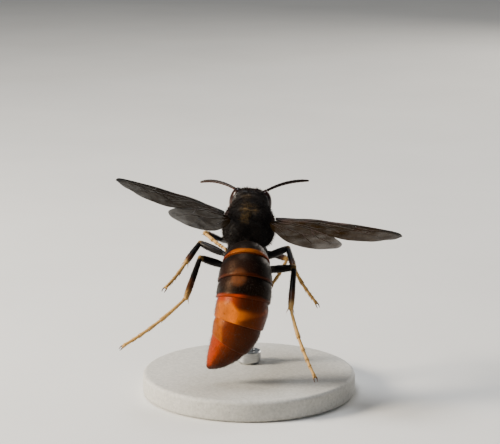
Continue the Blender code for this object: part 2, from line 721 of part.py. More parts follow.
build_thorax(black, attitude)
build_head(black, attitude)
build_gaster((black, black, black, orange, rust, rust), attitude)
for side_name, side in (("left", -1), ("right", 1)):
    eye = eye_body(side, 0.0)
    add_object(f"eye_{side_name}", finish_mesh(eye, f"eye_{side_name}"), eye_brown, attitude)
    jaw = mandible_body(side, 0.0)
    add_object(f"mandible_{side_name}", finish_mesh(jaw, f"mandible_{side_name}"), jaw_orange,
               attitude)
    build_antenna(side, side_name, ANTENNA_HEADINGS[side_name], leg_black, leg_black, attitude)
    for pair in ("fore", "mid", "hind"):
        build_leg(pair, side, f"{pair}_{side_name}", LEG_HEADINGS[(pair, side_name)],
                  (leg_black, leg_black, tarsus_yellow), attitude)
    build_wing("forewing", FOREWING_OUTLINE, FOREWING_VEINS, side, side_name, wing_smoke, attitude)
    build_wing("hindwing", HINDWING_OUTLINE, HINDWING_VEINS, side, side_name, wing_smoke, attitude)
build_stand(stand_stone, stand_steel)
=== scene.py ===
import math

import bmesh
import bpy
import numpy as np
from mathutils import Matrix, Quaternion, Vector, geometry, noise


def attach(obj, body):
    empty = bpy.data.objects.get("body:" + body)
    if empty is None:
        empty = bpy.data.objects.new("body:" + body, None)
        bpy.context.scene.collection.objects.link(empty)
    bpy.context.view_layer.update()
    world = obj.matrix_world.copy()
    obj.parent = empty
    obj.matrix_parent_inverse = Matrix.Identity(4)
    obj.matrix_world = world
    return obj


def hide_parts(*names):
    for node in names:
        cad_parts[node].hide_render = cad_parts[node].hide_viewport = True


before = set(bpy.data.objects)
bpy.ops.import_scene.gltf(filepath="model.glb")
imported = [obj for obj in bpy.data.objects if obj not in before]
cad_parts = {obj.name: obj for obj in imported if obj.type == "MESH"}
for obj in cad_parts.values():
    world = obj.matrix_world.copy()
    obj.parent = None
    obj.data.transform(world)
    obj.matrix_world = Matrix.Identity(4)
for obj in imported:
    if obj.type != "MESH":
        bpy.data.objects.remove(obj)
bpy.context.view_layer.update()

# Where the body sits: degrees and millimetres.
attitude = {"noseUp": 15.5, "bankRight": 7.0, "height": 20.6, "ahead": 2.4}
turned = (Matrix.Rotation(math.radians(attitude["bankRight"]), 4, "Y")
          @ Matrix.Rotation(math.radians(attitude["noseUp"]), 4, "X"))
bodyPlace = (Matrix.Translation(Vector((0, attitude["ahead"], attitude["height"])) * 0.001)
             @ turned @ Matrix.Scale(0.001, 4))
sides = {"left": -1, "right": 1}


# Colour and shader helpers.

def hexColour(text):
    values = []
    for start in (0, 2, 4):
        part = int(text[start:start + 2], 16) / 255
        values.append(part / 12.92 if part <= 0.04045 else ((part + 0.055) / 1.055) ** 2.4)
    return (*values, 1.0)


palette = {name: hexColour(code) for name, code in {
    "black": "0B0807", "brownBlack": "1A0F0B", "bandYellow": "844200", "highlightBrown": "58311A",
    "flankOrange": "A25000", "orange": "DC6E00", "deepOrange": "964800", "rust": "662404",
    "darkRust": "461A08", "emberRed": "A83200", "plumBrown": "30140B", "faceOrange": "CC7C14",
    "jawOrange": "AE6604", "tarsusYellow": "C69C5A", "legBrown": "4A2A16", "wingBrown": "281A06",
    "wingDark": "080502", "hairDark": "0F0B09", "hairBrown": "33241A", "hairHighlightTan": "83693F",
    "hairGold": "B98A4A", "hairRust": "A8560F"}.items()}


def blended(first, last, amount):
    # Between two colours, each given by its values or by its name in the palette.
    first, last = (palette[tone] if isinstance(tone, str) else tone for tone in (first, last))
    amount = min(max(amount, 0.0), 1.0)
    return tuple(a + (b - a) * amount for a, b in zip(first, last))


def eased(low, high, value):
    amount = min(max((value - low) / (high - low), 0.0), 1.0)
    return amount * amount * (3 - 2 * amount)


def addNode(tree, kind, inputs=(), settings=(), stops=(), output=0):
    # Inputs are values or other nodes' outputs; stops are the two points of a colour ramp.
    node = tree.nodes.new(kind)
    for name, value in dict(settings).items():
        setattr(node, name, value)
    for socket, value in dict(inputs).items():
        if isinstance(value, bpy.types.NodeSocket):
            tree.links.new(value, node.inputs[socket])
        else:
            node.inputs[socket].default_value = value
    for index, (place, colour) in enumerate(stops):
        node.color_ramp.elements[index].position = place
        node.color_ramp.elements[index].color = colour
    return node.outputs[output]


# Shape helpers.

def mixed(first, last, amount):
    return first + (last - first) * amount


def heading(azimuth, elevation, side=1):
    az = math.radians(azimuth)
    el = math.radians(elevation)
    return Vector((side * math.sin(az) * math.cos(el), math.cos(az) * math.cos(el), math.sin(el)))


def mirrored(point, side):
    return Vector((point[0] * side, point[1], point[2]))


def squared(value, power):
    # Pulls a rounded section towards a squarer one, for a power under 1.
    return math.copysign(abs(value) ** power, value)


def toRight(place):
    return Vector((abs(place.x), place.y, place.z))


def readCurve(rows, at):
    # A Catmull-Rom curve through rows of (position, value, ...).
    last = len(rows) - 1
    index = 0
    while index < last - 1 and at > rows[index + 1][0]:
        index += 1
    before = rows[max(index - 1, 0)]
    start = rows[index]
    end = rows[index + 1]
    after = rows[min(index + 2, last)]
    span = end[0] - start[0]
    t = min(max((at - start[0]) / span, 0.0), 1.0)
    values = []
    for column in range(1, len(start)):
        leave = (end[column] - before[column]) / max(end[0] - before[0], 1e-9) * span
        arrive = (after[column] - start[column]) / max(after[0] - start[0], 1e-9) * span
        values.append((2 * t ** 3 - 3 * t ** 2 + 1) * start[column]
                      + (t ** 3 - 2 * t ** 2 + t) * leave
                      + (3 * t ** 2 - 2 * t ** 3) * end[column] + (t ** 3 - t ** 2) * arrive)
    return values


def smoothPath(points, spacing):
    rows = []
    travelled = 0.0
    before = Vector(points[0])
    for point in map(Vector, points):
        travelled += (point - before).length
        rows.append((travelled, *point))
        before = point
    steps = max(int(round(travelled / spacing)), 2)
    return [Vector(readCurve(rows, travelled * (index / steps))) for index in range(steps + 1)]


def pointOn(rows, place):
    # The value at a place between two rows of a list.
    index = int(place)
    return mixed(rows[index], rows[index + 1], place - index)


def stretchOf(path, start, end, spots):
    # Points at spots between two shares of a path, and how far along the path each one lies.
    steps = len(path) - 1
    places = [min(mixed(start * steps, end * steps, spot), steps - 0.001) for spot in spots]
    return [pointOn(path, place) for place in places], [place / steps for place in places]


def bentPath(start, first, last, length, steps):
    # Points along a limb whose heading turns evenly from first to last.
    turn = first.rotation_difference(last)
    points = [start.copy()]
    for index in range(steps):
        part = Quaternion().slerp(turn, (index + 0.5) / steps)
        points.append(points[-1] + (part @ first) * (length / steps))
    return points


def rolledSkin(rings, shades=None):
    # A closed skin through rings of equally many points: a grid rolled up, its long seam merged.
    around = len(rings[0])
    along = len(rings) - 1
    bm = bmesh.new()
    bmesh.ops.create_grid(bm, x_segments=around, y_segments=along, size=0.5)
    layer = bm.verts.layers.float_color.new("markingAndLight")
    for vert in bm.verts:
        column = round((vert.co.x + 0.5) * around) % around
        row = round((vert.co.y + 0.5) * along)
        vert.co = rings[row][column]
        if shades:
            vert[layer] = shades[row][column]
    bmesh.ops.remove_doubles(bm, verts=bm.verts, dist=1e-4)
    bmesh.ops.holes_fill(bm, edges=[edge for edge in bm.edges if edge.is_boundary], sides=0)
    bmesh.ops.recalc_face_normals(bm, faces=bm.faces)
    return bm


def framesAlong(points):
    # Heading, across and up at each point, carried along without a twist.
    count = len(points)
    up = (points[1] - points[0]).normalized().orthogonal()
    frames = []
    for index in range(count):
        ahead = (points[min(index + 1, count - 1)] - points[max(index - 1, 0)]).normalized()
        across = up.cross(ahead).normalized()
        up = ahead.cross(across).normalized()
        frames.append((ahead, across, up.copy()))
    return frames


def limb(points, radii, around=14, flat=1.0):
    # A tube along points, its ends closed by half balls; flat narrows it in its up direction.
    frames = framesAlong(points)
    bends = [math.radians(bend) for bend in (2.0, 20.0, 42.0, 66.0)]
    rows = [(0, radii[0] * math.sin(bend), -radii[0] * math.cos(bend)) for bend in bends]
    rows += [(index, radius, 0.0) for index, radius in enumerate(radii)]
    rows += [(-1, radii[-1] * math.sin(bend), radii[-1] * math.cos(bend))
             for bend in reversed(bends)]
    rings = []
    for index, radius, shift in rows:
        ahead, across, up = frames[index]
        centre = points[index] + ahead * shift
        rings.append([centre + (across * math.cos(math.tau * k / around)
                                + up * flat * math.sin(math.tau * k / around)) * radius
                      for k in range(around)])
    return rolledSkin(rings)


def shapedBall(shape, around=48, along=28):
    bm = bmesh.new()
    bmesh.ops.create_uvsphere(bm, u_segments=around, v_segments=along, radius=1.0)
    for vert in bm.verts:
        vert.co = shape(vert.co.copy())
    return bm


def ellipsoid(centre, radii, around=40, along=24, turn=None):
    rotation = turn or Matrix.Identity(3)

    def shape(point):
        stretched = Vector((point.x * radii[0], point.y * radii[1], point.z * radii[2]))
        return Vector(centre) + rotation @ stretched
    return shapedBall(shape, around, along)


def joined(parts):
    whole = bmesh.new()
    for part in parts:
        mesh = bpy.data.meshes.new("part")
        part.to_mesh(mesh)
        part.free()
        whole.from_mesh(mesh)
        bpy.data.meshes.remove(mesh)
    return whole


def fusedSkin(parts, style):
    # Closed forms that overlap become one skin with soft creases and pressed furrows.
    mesh = bpy.data.meshes.new("fusing")
    whole = joined(parts)
    whole.to_mesh(mesh)
    whole.free()
    item = bpy.data.objects.new("fusing", mesh)
    bpy.context.scene.collection.objects.link(item)
    remesh = item.modifiers.new("remesh", "REMESH")
    remesh.mode = "VOXEL"
    remesh.voxel_size = style["voxel"]
    graph = bpy.context.evaluated_depsgraph_get()
    fused = bpy.data.meshes.new_from_object(item.evaluated_get(graph))
    bpy.data.objects.remove(item)
    bm = bmesh.new()
    bm.from_mesh(fused)
    bpy.data.meshes.remove(fused)
    for step in range(style["smoothing"]):
        bmesh.ops.smooth_vert(bm, verts=bm.verts, factor=0.5, use_axis_x=True, use_axis_y=True,
                              use_axis_z=True)
    bm.normal_update()
    pressFurrows(bm, style["furrows"])
    return bm


def pressFurrows(bm, furrows):
    # Presses grooves into both sides of a skin: depth, width and lines of points close to it.
    for depth, width, lines in furrows:
        pairs = []
        for line in lines:
            for side in (1, -1):
                points = [mirrored(point, side) for point in line]
                pairs += zip(points, points[1:])
        for vert in bm.verts:
            nearest = 1e9
            for start, end in pairs:
                foot, amount = geometry.intersect_point_line(vert.co, start, end)
                foot = start if amount < 0 else end if amount > 1 else foot
                nearest = min(nearest, (vert.co - foot).length)
            if nearest < width * 3:
                vert.co -= vert.normal * depth * math.exp(-(nearest / width) ** 2)
        bm.normal_update()


def paintSkin(bm, shade):
    layer = bm.verts.layers.float_color.get("markingAndLight") or bm.verts.layers.float_color.new("markingAndLight")
    for vert in bm.verts:
        vert[layer] = shade(vert.co, vert.normal)


def makePiece(name, bm, material, slot, replaces=(), place=bodyPlace, sharp=None):
    bm.transform(place)
    mesh = bpy.data.meshes.new(name)
    bm.to_mesh(mesh)
    bm.free()
    mesh.shade_smooth()
    if sharp:
        mesh.set_sharp_from_angle(angle=math.radians(sharp))
    mesh.materials.append(material)
    return rideAlong(bpy.data.objects.new(name, mesh), slot, replaces)


def rideAlong(piece, slot, replaces=()):
    bpy.context.scene.collection.objects.link(piece)
    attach(piece, "root")
    if replaces:
        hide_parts(*replaces)
    return piece


# Finishes. Each starts from the real stuff and is then matched to the hornet.

def makeFinish(name, plain, patterns, shine, ground=None, shades=(), reliefs=(), stretch=None,
               veil=None):
    # patterns: noise as width of a patch in millimetres, detail, roughness, or cells as width and
    # randomness. ground: a pattern and the colours it runs between, or else the stored colour,
    # markings with painted light and shade.
    # shades: a pattern, how much it darkens, and its two stops of place and brightness.
    # reliefs: a pattern, its strength, and its height in millimetres.
    # shine and veil: a pattern, two of its values, and what each of them comes to.
    material = bpy.data.materials.new(name)
    material.use_nodes = True
    tree = material.node_tree
    shader = tree.nodes["Principled BSDF"]
    for socket, value in plain.items():
        shader.inputs[socket].default_value = value
    where = addNode(tree, "ShaderNodeTexCoord", output="Object")
    if stretch:
        where = addNode(tree, "ShaderNodeMapping", {"Vector": where, "Scale": stretch})
    made = {}
    for key, (size, *others) in patterns.items():
        kind = "ShaderNodeTexNoise" if len(others) == 2 else "ShaderNodeTexVoronoi"
        names = ("Detail", "Roughness") if len(others) == 2 else ("Randomness",)
        made[key] = addNode(tree, kind, {"Vector": where, "Scale": 1000.0 / size,
                                         **dict(zip(names, others))})
    if ground:
        base = addNode(tree, "ShaderNodeValToRGB", {"Fac": made[ground[0]]},
                       stops=((0.3, hexColour(ground[1])), (0.7, hexColour(ground[2]))))
    else:
        base = addNode(tree, "ShaderNodeAttribute", settings={"attribute_name": "markingAndLight"})
    for key, factor, *stops in shades:
        dark = addNode(tree, "ShaderNodeValToRGB", {"Fac": made[key]},
                       stops=[(place, (level, level, level, 1.0)) for place, level in stops])
        base = addNode(tree, "ShaderNodeMix", {0: factor, 6: base, 7: dark},
                       {"data_type": "RGBA", "blend_type": "MULTIPLY"}, output=2)
    finals = {"Base Color": base}
    names = ("From Min", "From Max", "To Min", "To Max")
    for socket, row in (("Roughness", shine), ("Alpha", veil)):
        if row:
            finals[socket] = addNode(tree, "ShaderNodeMapRange",
                                     {"Value": made[row[0]], **dict(zip(names, row[1:]))})
    if veil:
        stored = addNode(tree, "ShaderNodeAttribute", settings={"attribute_name": "markingAndLight"},
                         output="Alpha")
        finals["Alpha"] = addNode(tree, "ShaderNodeMath", {0: stored, 1: finals["Alpha"]},
                                  {"operation": "ADD", "use_clamp": True})
    for key, strength, height in reliefs:
        inputs = {"Height": made[key], "Strength": strength, "Distance": height * 0.001}
        if "Normal" in finals:
            inputs["Normal"] = finals["Normal"]
        finals["Normal"] = addNode(tree, "ShaderNodeBump", inputs)
    for socket, source in finals.items():
        tree.links.new(source, shader.inputs[socket])
    return material


def cuticleFinish(name, roughness, pits, sheen, shineLevel, shineTint="FFFFFF"):
    # Chitin cuticle, hardened and pitted: a waxy gloss, kept low so that the dark plates stay
    # dark, with fine pits and a thin bloom. The pits are about twice the real 0.03 mm, to show.
    return makeFinish(
        name, {"IOR": 1.56, "Sheen Weight": sheen, "Sheen Roughness": 0.35,
               "Sheen Tint": hexColour("8A6A48"), "Specular IOR Level": shineLevel,
               "Specular Tint": hexColour(shineTint)},
        {"cloud": (0.9, 4.0, 0.55), "pit": (0.07, 1.0), "grain": (0.12, 3.0, 0.55)},
        ("grain", 0.3, 0.7, roughness - 0.1, roughness + 0.14),
        shades=[("cloud", 0.55, (0.3, 0.62), (0.7, 1.0)), ("pit", pits, (0.05, 0.45), (0.4, 1.0))],
        reliefs=[("pit", 0.4, 0.012), ("grain", 0.2, 0.015)])


velvetCuticle = cuticleFinish("velvetCuticle", 0.68, 0.5, 0.05, 0.25)
bandCuticle = cuticleFinish("bandCuticle", 0.42, 0.3, 0.0, 0.13, "C88848")
tailCuticle = cuticleFinish("tailCuticle", 0.38, 0.3, 0.0, 0.13, "E8B080")
faceCuticle = cuticleFinish("faceCuticle", 0.38, 0.45, 0.03, 0.35)
legCuticle = cuticleFinish("legCuticle", 0.36, 0.3, 0.0, 0.11)
# Compound eye: a lens skin with a soft gloss over tight facets, drawn at 0.07 mm, about twice the
# real width, so that their mosaic shows as a faint grain.
lensSkin = makeFinish(
    "compoundEyeLens", {"IOR": 1.4, "Coat Weight": 0.1, "Coat Roughness": 0.12,
                        "Specular IOR Level": 0.2},
    {"facet": (0.07, 0.25), "cloud": (1.1, 3.0, 0.55)}, ("facet", 0.0, 1.0, 0.2, 0.36),
    ground=("cloud", "140B08", "38180E"), shades=[("facet", 0.7, (0.1, 1.0), (0.55, 0.4))],
    reliefs=[("facet", 0.25, 0.006)])
# Wing membrane, two layers of clear chitin tinted smoky brown: thin and crinkled, its gloss kept
# far under the real one, which turns grey at the photo's low angle. The veil, how much it hides,
# is stored on the skin.
membrane = makeFinish(
    "wingMembraneChitin", {"IOR": 1.2, "Specular IOR Level": 0.05},
    {"cloud": (1.4, 4.0, 0.55), "crinkle": (0.35, 4.0, 0.6)}, ("crinkle", 0.0, 1.0, 0.44, 0.68),
    shades=[("cloud", 0.5, (0.3, 0.6), (0.7, 1.0))], reliefs=[("crinkle", 0.5, 0.06)],
    veil=("cloud", 0.3, 0.7, -0.07, 0.07))
veinCuticle = cuticleFinish("veinCuticle", 0.5, 0.2, 0.0, 0.2)
# Bristle and down: solid chitin hair, dull along its length, with a very faint warm bloom.
hair = makeFinish(
    "chitinHair", {"IOR": 1.55, "Specular IOR Level": 0.24, "Sheen Weight": 0.05,
                   "Sheen Roughness": 0.4, "Sheen Tint": hexColour("9A7650")},
    {"cloud": (0.5, 3.0, 0.55)}, ("cloud", 0.0, 1.0, 0.42, 0.66),
    shades=[("cloud", 0.5, (0.3, 0.55), (0.7, 1.0))])
# Cast mineral resin: pale and matte, with fine sand grain and a few darker specks.
castResin = makeFinish(
    "castMineralResin", {"IOR": 1.5}, {"sand": (0.35, 5.0, 0.65), "speck": (0.7, 1.0)},
    ("sand", 0.0, 1.0, 0.5, 0.72), ground=("sand", "A5A39C", "C4C2BB"),
    shades=[("speck", 0.6, (0.05, 0.5), (0.17, 1.0))], reliefs=[("sand", 0.4, 0.04)])
# Brushed stainless steel: fine turning marks round the rod, 0.08 mm apart, with soft gloss.
steel = makeFinish(
    "brushedStainlessSteel", {"Metallic": 1.0}, {"marks": (0.08, 4.0, 0.6)},
    ("marks", 0.0, 1.0, 0.22, 0.42), ground=("marks", "A9ABAD", "CDCFD0"),
    reliefs=[("marks", 0.3, 0.01)], stretch=(0.12, 0.12, 1.0))
# Matte paper sweep: pale warm grey with a faint fibre cloud.
paper = makeFinish(
    "mattePaper", {"IOR": 1.45}, {"cloud": (40.0, 4.0, 0.55), "fibre": (0.8, 3.0, 0.55)},
    ("fibre", 0.0, 1.0, 0.75, 0.9), ground=("cloud", "D9D8D4", "DFDEDA"))
print("finishes made")


# Tail (gaster): six overlapping ring plates round a bent middle line, each slid under the last.

tail = {
    "waist": Vector((0.0, -3.8, -1.0)),
    # distance from the waist: half width, back above the line, belly below it
    "envelope": [(0.0, 0.55, 0.6, 0.5), (0.55, 1.35, 1.9, 0.75), (1.2, 2.25, 3.0, 1.0),
                 (2.6, 2.9, 3.8, 1.3), (4.4, 3.25, 4.1, 1.7), (6.0, 3.32, 4.0, 2.0),
                 (8.4, 3.2, 3.5, 2.2), (10.6, 2.95, 2.9, 2.2), (12.6, 2.45, 2.3, 1.9),
                 (14.0, 1.85, 1.75, 1.5), (15.4, 1.18, 1.12, 0.98), (16.6, 0.34, 0.32, 0.3)],
    # where each plate ends: how steeply it hangs, how far it swings left
    "joints": [(0.0, 32.0, -3.0), (2.6, 38.0, -3.0), (5.1, 46.0, -2.0), (7.2, 54.0, 1.0),
               (9.9, 63.0, 10.0), (12.5, 74.0, 25.0), (16.6, 86.0, 38.0)],
    "skin": 0.985, "tuck": 0.55, "around": 84, "sideSeam": -34.0, "bellyStep": 0.035,
    # the middle line is walked in even strides; each plate's rear edge rolls in under itself:
    # distance past its end and share of the section
    "stride": 0.05, "strides": 344, "squareness": 2 / 2.1,
    "rolledEdge": [(0.05, 0.995), (0.07, 0.975), (0.05, 0.95), (-0.1, 0.92), (-0.12, 0.02)],
    "tip": [(0.06, 0.8), (0.1, 0.45), (0.11, 0.02)],
    # the raised lip ahead of each rear edge: height, distance from the edge, half width
    "lip": (0.012, 0.16, 0.12),
}


def tailTurn(distance):
    hang, swing = readCurve(tail["joints"], distance)
    hang = math.radians(hang)
    swing = math.radians(swing)
    straight = Vector((0.0, -math.cos(hang), -math.sin(hang)))
    back = Vector((0.0, -math.sin(hang), math.cos(hang)))
    ahead = straight * math.cos(swing) - Vector((math.sin(swing), 0.0, 0.0))
    return ahead, back.cross(ahead).normalized(), back


tailLine = [tail["waist"].copy()]
for step in range(tail["strides"]):
    ahead = tailTurn((step + 0.5) * tail["stride"])[0]
    tailLine.append(tailLine[-1] + ahead * tail["stride"])


def tailMiddle(distance):
    if distance < 0:
        return tail["waist"] + tailTurn(0.0)[0] * distance
    return pointOn(tailLine, min(distance / tail["stride"], tail["strides"] - 1.0))


def tailAngles():
    # Even steps round the section, with two close together where back plate meets belly plate.
    step = 360.0 / tail["around"]
    angles = [(index + 0.5) * step for index in range(tail["around"])]
    for edge in (tail["sideSeam"] % 360, (180 - tail["sideSeam"]) % 360):
        nearest = sorted(range(len(angles)), key=lambda k: abs(angles[k] - edge))[:2]
        low, high = sorted(nearest)
        angles[low] = edge - 0.5
        angles[high] = edge + 0.5
    return angles


tailRound = tailAngles()


def tailPoint(distance, angle, factor):
    half, rise, drop = readCurve(tail["envelope"], max(distance, 0.0))
    ahead, across, back = tailTurn(max(distance, 0.0))
    turn = math.radians(angle)
    x = squared(math.cos(turn), tail["squareness"])
    z = squared(math.sin(turn), tail["squareness"])
    belly = 180 - tail["sideSeam"] < angle < 360 + tail["sideSeam"]
    factor *= tail["skin"] * (1.0 - tail["bellyStep"] if belly else 1.0)
    height = rise if z > 0 else drop
    return tailMiddle(distance) + (across * x * half + back * z * height) * factor


def plateSpan(number, distance):
    # Where a plate starts and ends, and how far along it a place lies, 0 to 1.
    first, last = (row[0] for row in tail["joints"][number:number + 2])
    return first, last, (distance - first) / (last - first)


def plateSwell(number, along):
    # Each plate but the first is narrower where it slides under the one before.
    return 0.94 + 0.06 * eased(-0.1, 0.42, along) if number else 1.0


def tailHighlightSpot(side, back, away, wave):
    # The photo's reddish brown spot, left of the middle, where the second and third plate meet: a
    # painted highlight.
    reach = ((side + 0.25) / 0.29) ** 2 + (away / 0.34) ** 2 + wave * 0.4
    return eased(1.3, 0.1, reach) * eased(0.0, 0.3, back)


def tailShade(number, distance, angle):
    # Marking at one place of a plate, with painted light on the left flank and painted shade on the
    # right: 0 degrees is its right side and 90 the back.
    last, along = plateSpan(number, distance)[1:]
    back = math.sin(math.radians(angle))
    side = math.cos(math.radians(angle))
    wave = noise.noise(Vector((side * 1.7, back * 1.7, distance * 0.6)))
    colour = "black"
    if number == 0:
        wide = mixed(0.2, 0.46, eased(0.25, 0.95, back))
        band = eased(last - wide, last - wide + 0.12, distance + wave * 0.1)
        tone = blended("rust", "bandYellow", eased(0.6, 1.0, back - 0.12 * side))
        colour = blended(colour, tone, band * eased(0.0, 0.3, back))
    elif number == 1:
        # painted light: the left flank is lit to a reddish brown, where the photo's patch lies
        litFlank = eased(0.15, 0.75, along + wave * 0.2) * eased(0.75, -0.1, side)
        colour = blended(colour, "plumBrown", 0.3 * litFlank)
        # painted highlight: a warm brown spot of gloss near the rear of the plate
        spot = tailHighlightSpot(side, back, along - 1.06, wave)
        colour = blended(colour, "highlightBrown", 0.8 * spot)
        margin = eased(0.09, 0.03, along + wave * 0.02) * eased(0.1, 0.6, back)
        colour = blended(colour, "deepOrange", 0.75 * margin * eased(0.7, 0.2, side))
        band = eased(last - 0.18, last - 0.12, distance + wave * 0.08)
        colour = blended(colour, "darkRust", 0.6 * band * eased(-0.1, 0.3, back))
    elif number == 2:
        # painted light: the lit reddish brown of the left flank runs on over the front of this
        # plate
        litFlank = eased(0.75, 0.1, along + wave * 0.2) * eased(0.55, -0.2, side)
        colour = blended(colour, "plumBrown", 0.2 * litFlank)
        colour = blended(colour, "highlightBrown",
                         tailHighlightSpot(side, back, (along - 0.12) * 0.8, wave))
        band = eased(last - 0.3, last - 0.2, distance + wave * 0.1)
        tone = blended("emberRed", "rust", 0.7 * eased(-0.1, -0.6, side))
        # painted shade: the band darkens to dark rust towards the right flank
        tone = blended(tone, "darkRust", eased(-0.35, 0.2, side))
        colour = blended(colour, tone, 0.85 * band)
    elif number == 3:
        # A dark front margin runs into a blunt point on the back; towards the right flank the
        # orange and the margin are painted browner, as shade.
        point = 0.2 + 0.27 * eased(0.7, 0.98, back + 0.3 * side)
        bright = eased(point - 0.06, point + 0.14, along + wave * 0.06)
        tone = blended("orange", "deepOrange", eased(-0.3, 0.45, side))
        tone = blended(tone, "flankOrange", eased(-0.2, -0.6, side))
        tone = blended(tone, "rust", 0.75 * eased(0.0, 0.7, side))
        front = blended("emberRed", "rust", 0.5)
        front = blended(front, "darkRust", eased(-0.55, 0.0, side))
        colour = blended(front, tone, bright)
        # it ends level in the photo, so the brown, painted shade, starts further forward towards
        # the right
        cut = 0.86 - 0.5 * max(side, 0.0)
        colour = blended(colour, "darkRust",
                         0.8 * eased(cut - 0.06, cut + 0.1, along) * eased(-0.25, 0.1, side))
        colour = blended(colour, "rust", 0.55 * eased(0.0, -0.6, back))
    elif number == 4:
        # painted shade: the plate darkens to dark rust and brown black towards the right flank; the
        # deep orange strip down the left flank is partly the plate's lighter side and partly
        # painted light
        colour = blended("rust", "darkRust", 0.3 + 0.7 * eased(-0.45, 0.2, side))
        colour = blended(colour, "brownBlack", 0.45 * eased(-0.1, 0.7, side))
        edge = mixed(-0.62, -0.42, along) + wave * 0.15
        colour = blended(colour, "deepOrange", 0.9 * eased(edge + 0.1, edge - 0.1, side))
    else:
        # painted shade: ember red on the left flank, turning to dark rust towards the right
        shadedFlank = blended("rust", "darkRust", 0.2 + 0.8 * eased(-0.2, 0.3, side))
        colour = blended("emberRed", shadedFlank, eased(-0.5, -0.1, side + wave * 0.3))
        colour = blended(colour, "darkRust", eased(0.8, 1.0, along))
    seam = min(abs(angle - (180 - tail["sideSeam"])), abs(angle - (360 + tail["sideSeam"])))
    return blended(colour, "black", 0.5 * eased(4.0, 1.0, seam))


def tailPlate(number):
    first, last, _ = plateSpan(number, 0.0)
    start = first - (tail["tuck"] if number else 0.25)
    steps = 26 if number in (0, 5) else 20
    lipHeight, lipAhead, lipHalf = tail["lip"]
    rows = [(start, 0.02)]
    for index in range(steps + 1):
        distance = mixed(start, last, index / steps)
        factor = plateSwell(number, plateSpan(number, distance)[2])
        if number < 5:
            factor += lipHeight * math.exp(-((distance - last + lipAhead) / lipHalf) ** 2)
        rows.append((distance, factor))
    rows += [(last + past, factor) for past, factor in tail["rolledEdge" if number < 5 else "tip"]]
    return rolledSkin([[tailPoint(distance, angle, factor) for angle in tailRound]
                       for distance, factor in rows],
                      [[tailShade(number, distance, angle) for angle in tailRound]
                       for distance, factor in rows])


for number, slot in enumerate(["body_black"] * 3 + ["band_orange"] + ["tail_rust"] * 2):
    makePiece(f"tailPlate{number + 1}", tailPlate(number),
              bandCuticle if number < 3 else tailCuticle, slot, [f"gaster_{number + 1}"], sharp=50)
print("tail plates made")


# Thorax: its hardened plates as overlapping lobes under one skin, with the real furrows pressed in.

thorax = {
    "coatDepth": 0.14, "voxel": 0.075, "smoothing": 3,
    # middle of the lobe, half sizes; x is mirrored where it isn't 0
    "lobes": [((0.0, 2.15, 0.25), (2.72, 1.4, 2.15)), ((0.0, 0.75, 1.05), (2.45, 2.35, 1.95)),
              ((0.0, -2.5, 1.1), (1.8, 0.6, 0.8)), ((0.62, -1.75, 1.72), (1.2, 0.82, 0.95)),
              ((1.0, -2.3, -0.45), (1.7, 1.3, 1.85)), ((1.5, 0.6, -0.95), (1.65, 1.9, 1.95)),
              ((1.97, -1.42, -0.5), (1.22, 1.35, 1.75))],
    "core": [(-3.6, 0.8, 0.7, -0.7), (-2.9, 1.6, 1.6, -1.7), (-1.6, 2.55, 2.5, -2.5),
             (-0.2, 2.8, 2.75, -2.75), (1.4, 2.55, 2.4, -2.6), (2.6, 2.05, 1.4, -2.25),
             (3.4, 1.2, 0.1, -1.9), (3.75, 0.62, -0.45, -1.55)],
    "squareness": 0.87, "rings": 24, "around": 40, "wingRoot": Vector((2.95, -0.35, 1.1)),
    "shoulder": (2.5, 0.5, 1.3), "bareSpot": Vector((2.6, 0.5, 1.3)),
    # coxa: share of the way down it and radius there; then the hinge that carries both wings
    "coxa": [(0.0, 0.66), (0.35, 0.68), (0.7, 0.55), (0.92, 0.36)],
    "hingeRoot": (2.1, -0.2, 1.0), "hingeRadii": (0.8, 0.52, 0.3),
    # neck and the narrow root of the waist: two points and their radii
    "necks": [((0, 3.1, -0.1), (0, 3.9, -0.2), (0.95, 0.75)),
              ((0, -3.3, -0.9), (0, -3.95, -1.08), (0.62, 0.4))],
    # depth, width and lines: the middle, the slopes, the rear, then collar and side seams
    "furrows": [
        (0.07, 0.09, [[(0, 2.9, 2.4), (0, 1.6, 2.9), (0, 0.2, 3.0), (0, -1.0, 2.6)]]),
        (0.06, 0.1, [[(1.15, 1.7, 2.5), (0.95, 0.4, 2.75), (0.9, -0.9, 2.5)]]),
        (0.1, 0.12, [[(0, -1.2, 2.7), (0, -2.4, 2.0), (0, -3.4, 0.3)]]),
        (0.09, 0.09, [[(0, 2.55, 2.45), (1.5, 2.35, 1.85), (2.45, 1.7, 0.9), (2.7, 1.35, -0.3),
                       (2.3, 1.9, -1.8)],
                      [(2.75, 0.1, 0.4), (2.8, -0.6, -0.6), (2.2, -1.0, -2.2)],
                      [(2.6, -1.0, 1.1), (1.6, -1.35, 2.1), (0.2, -1.15, 2.6)]])],
}
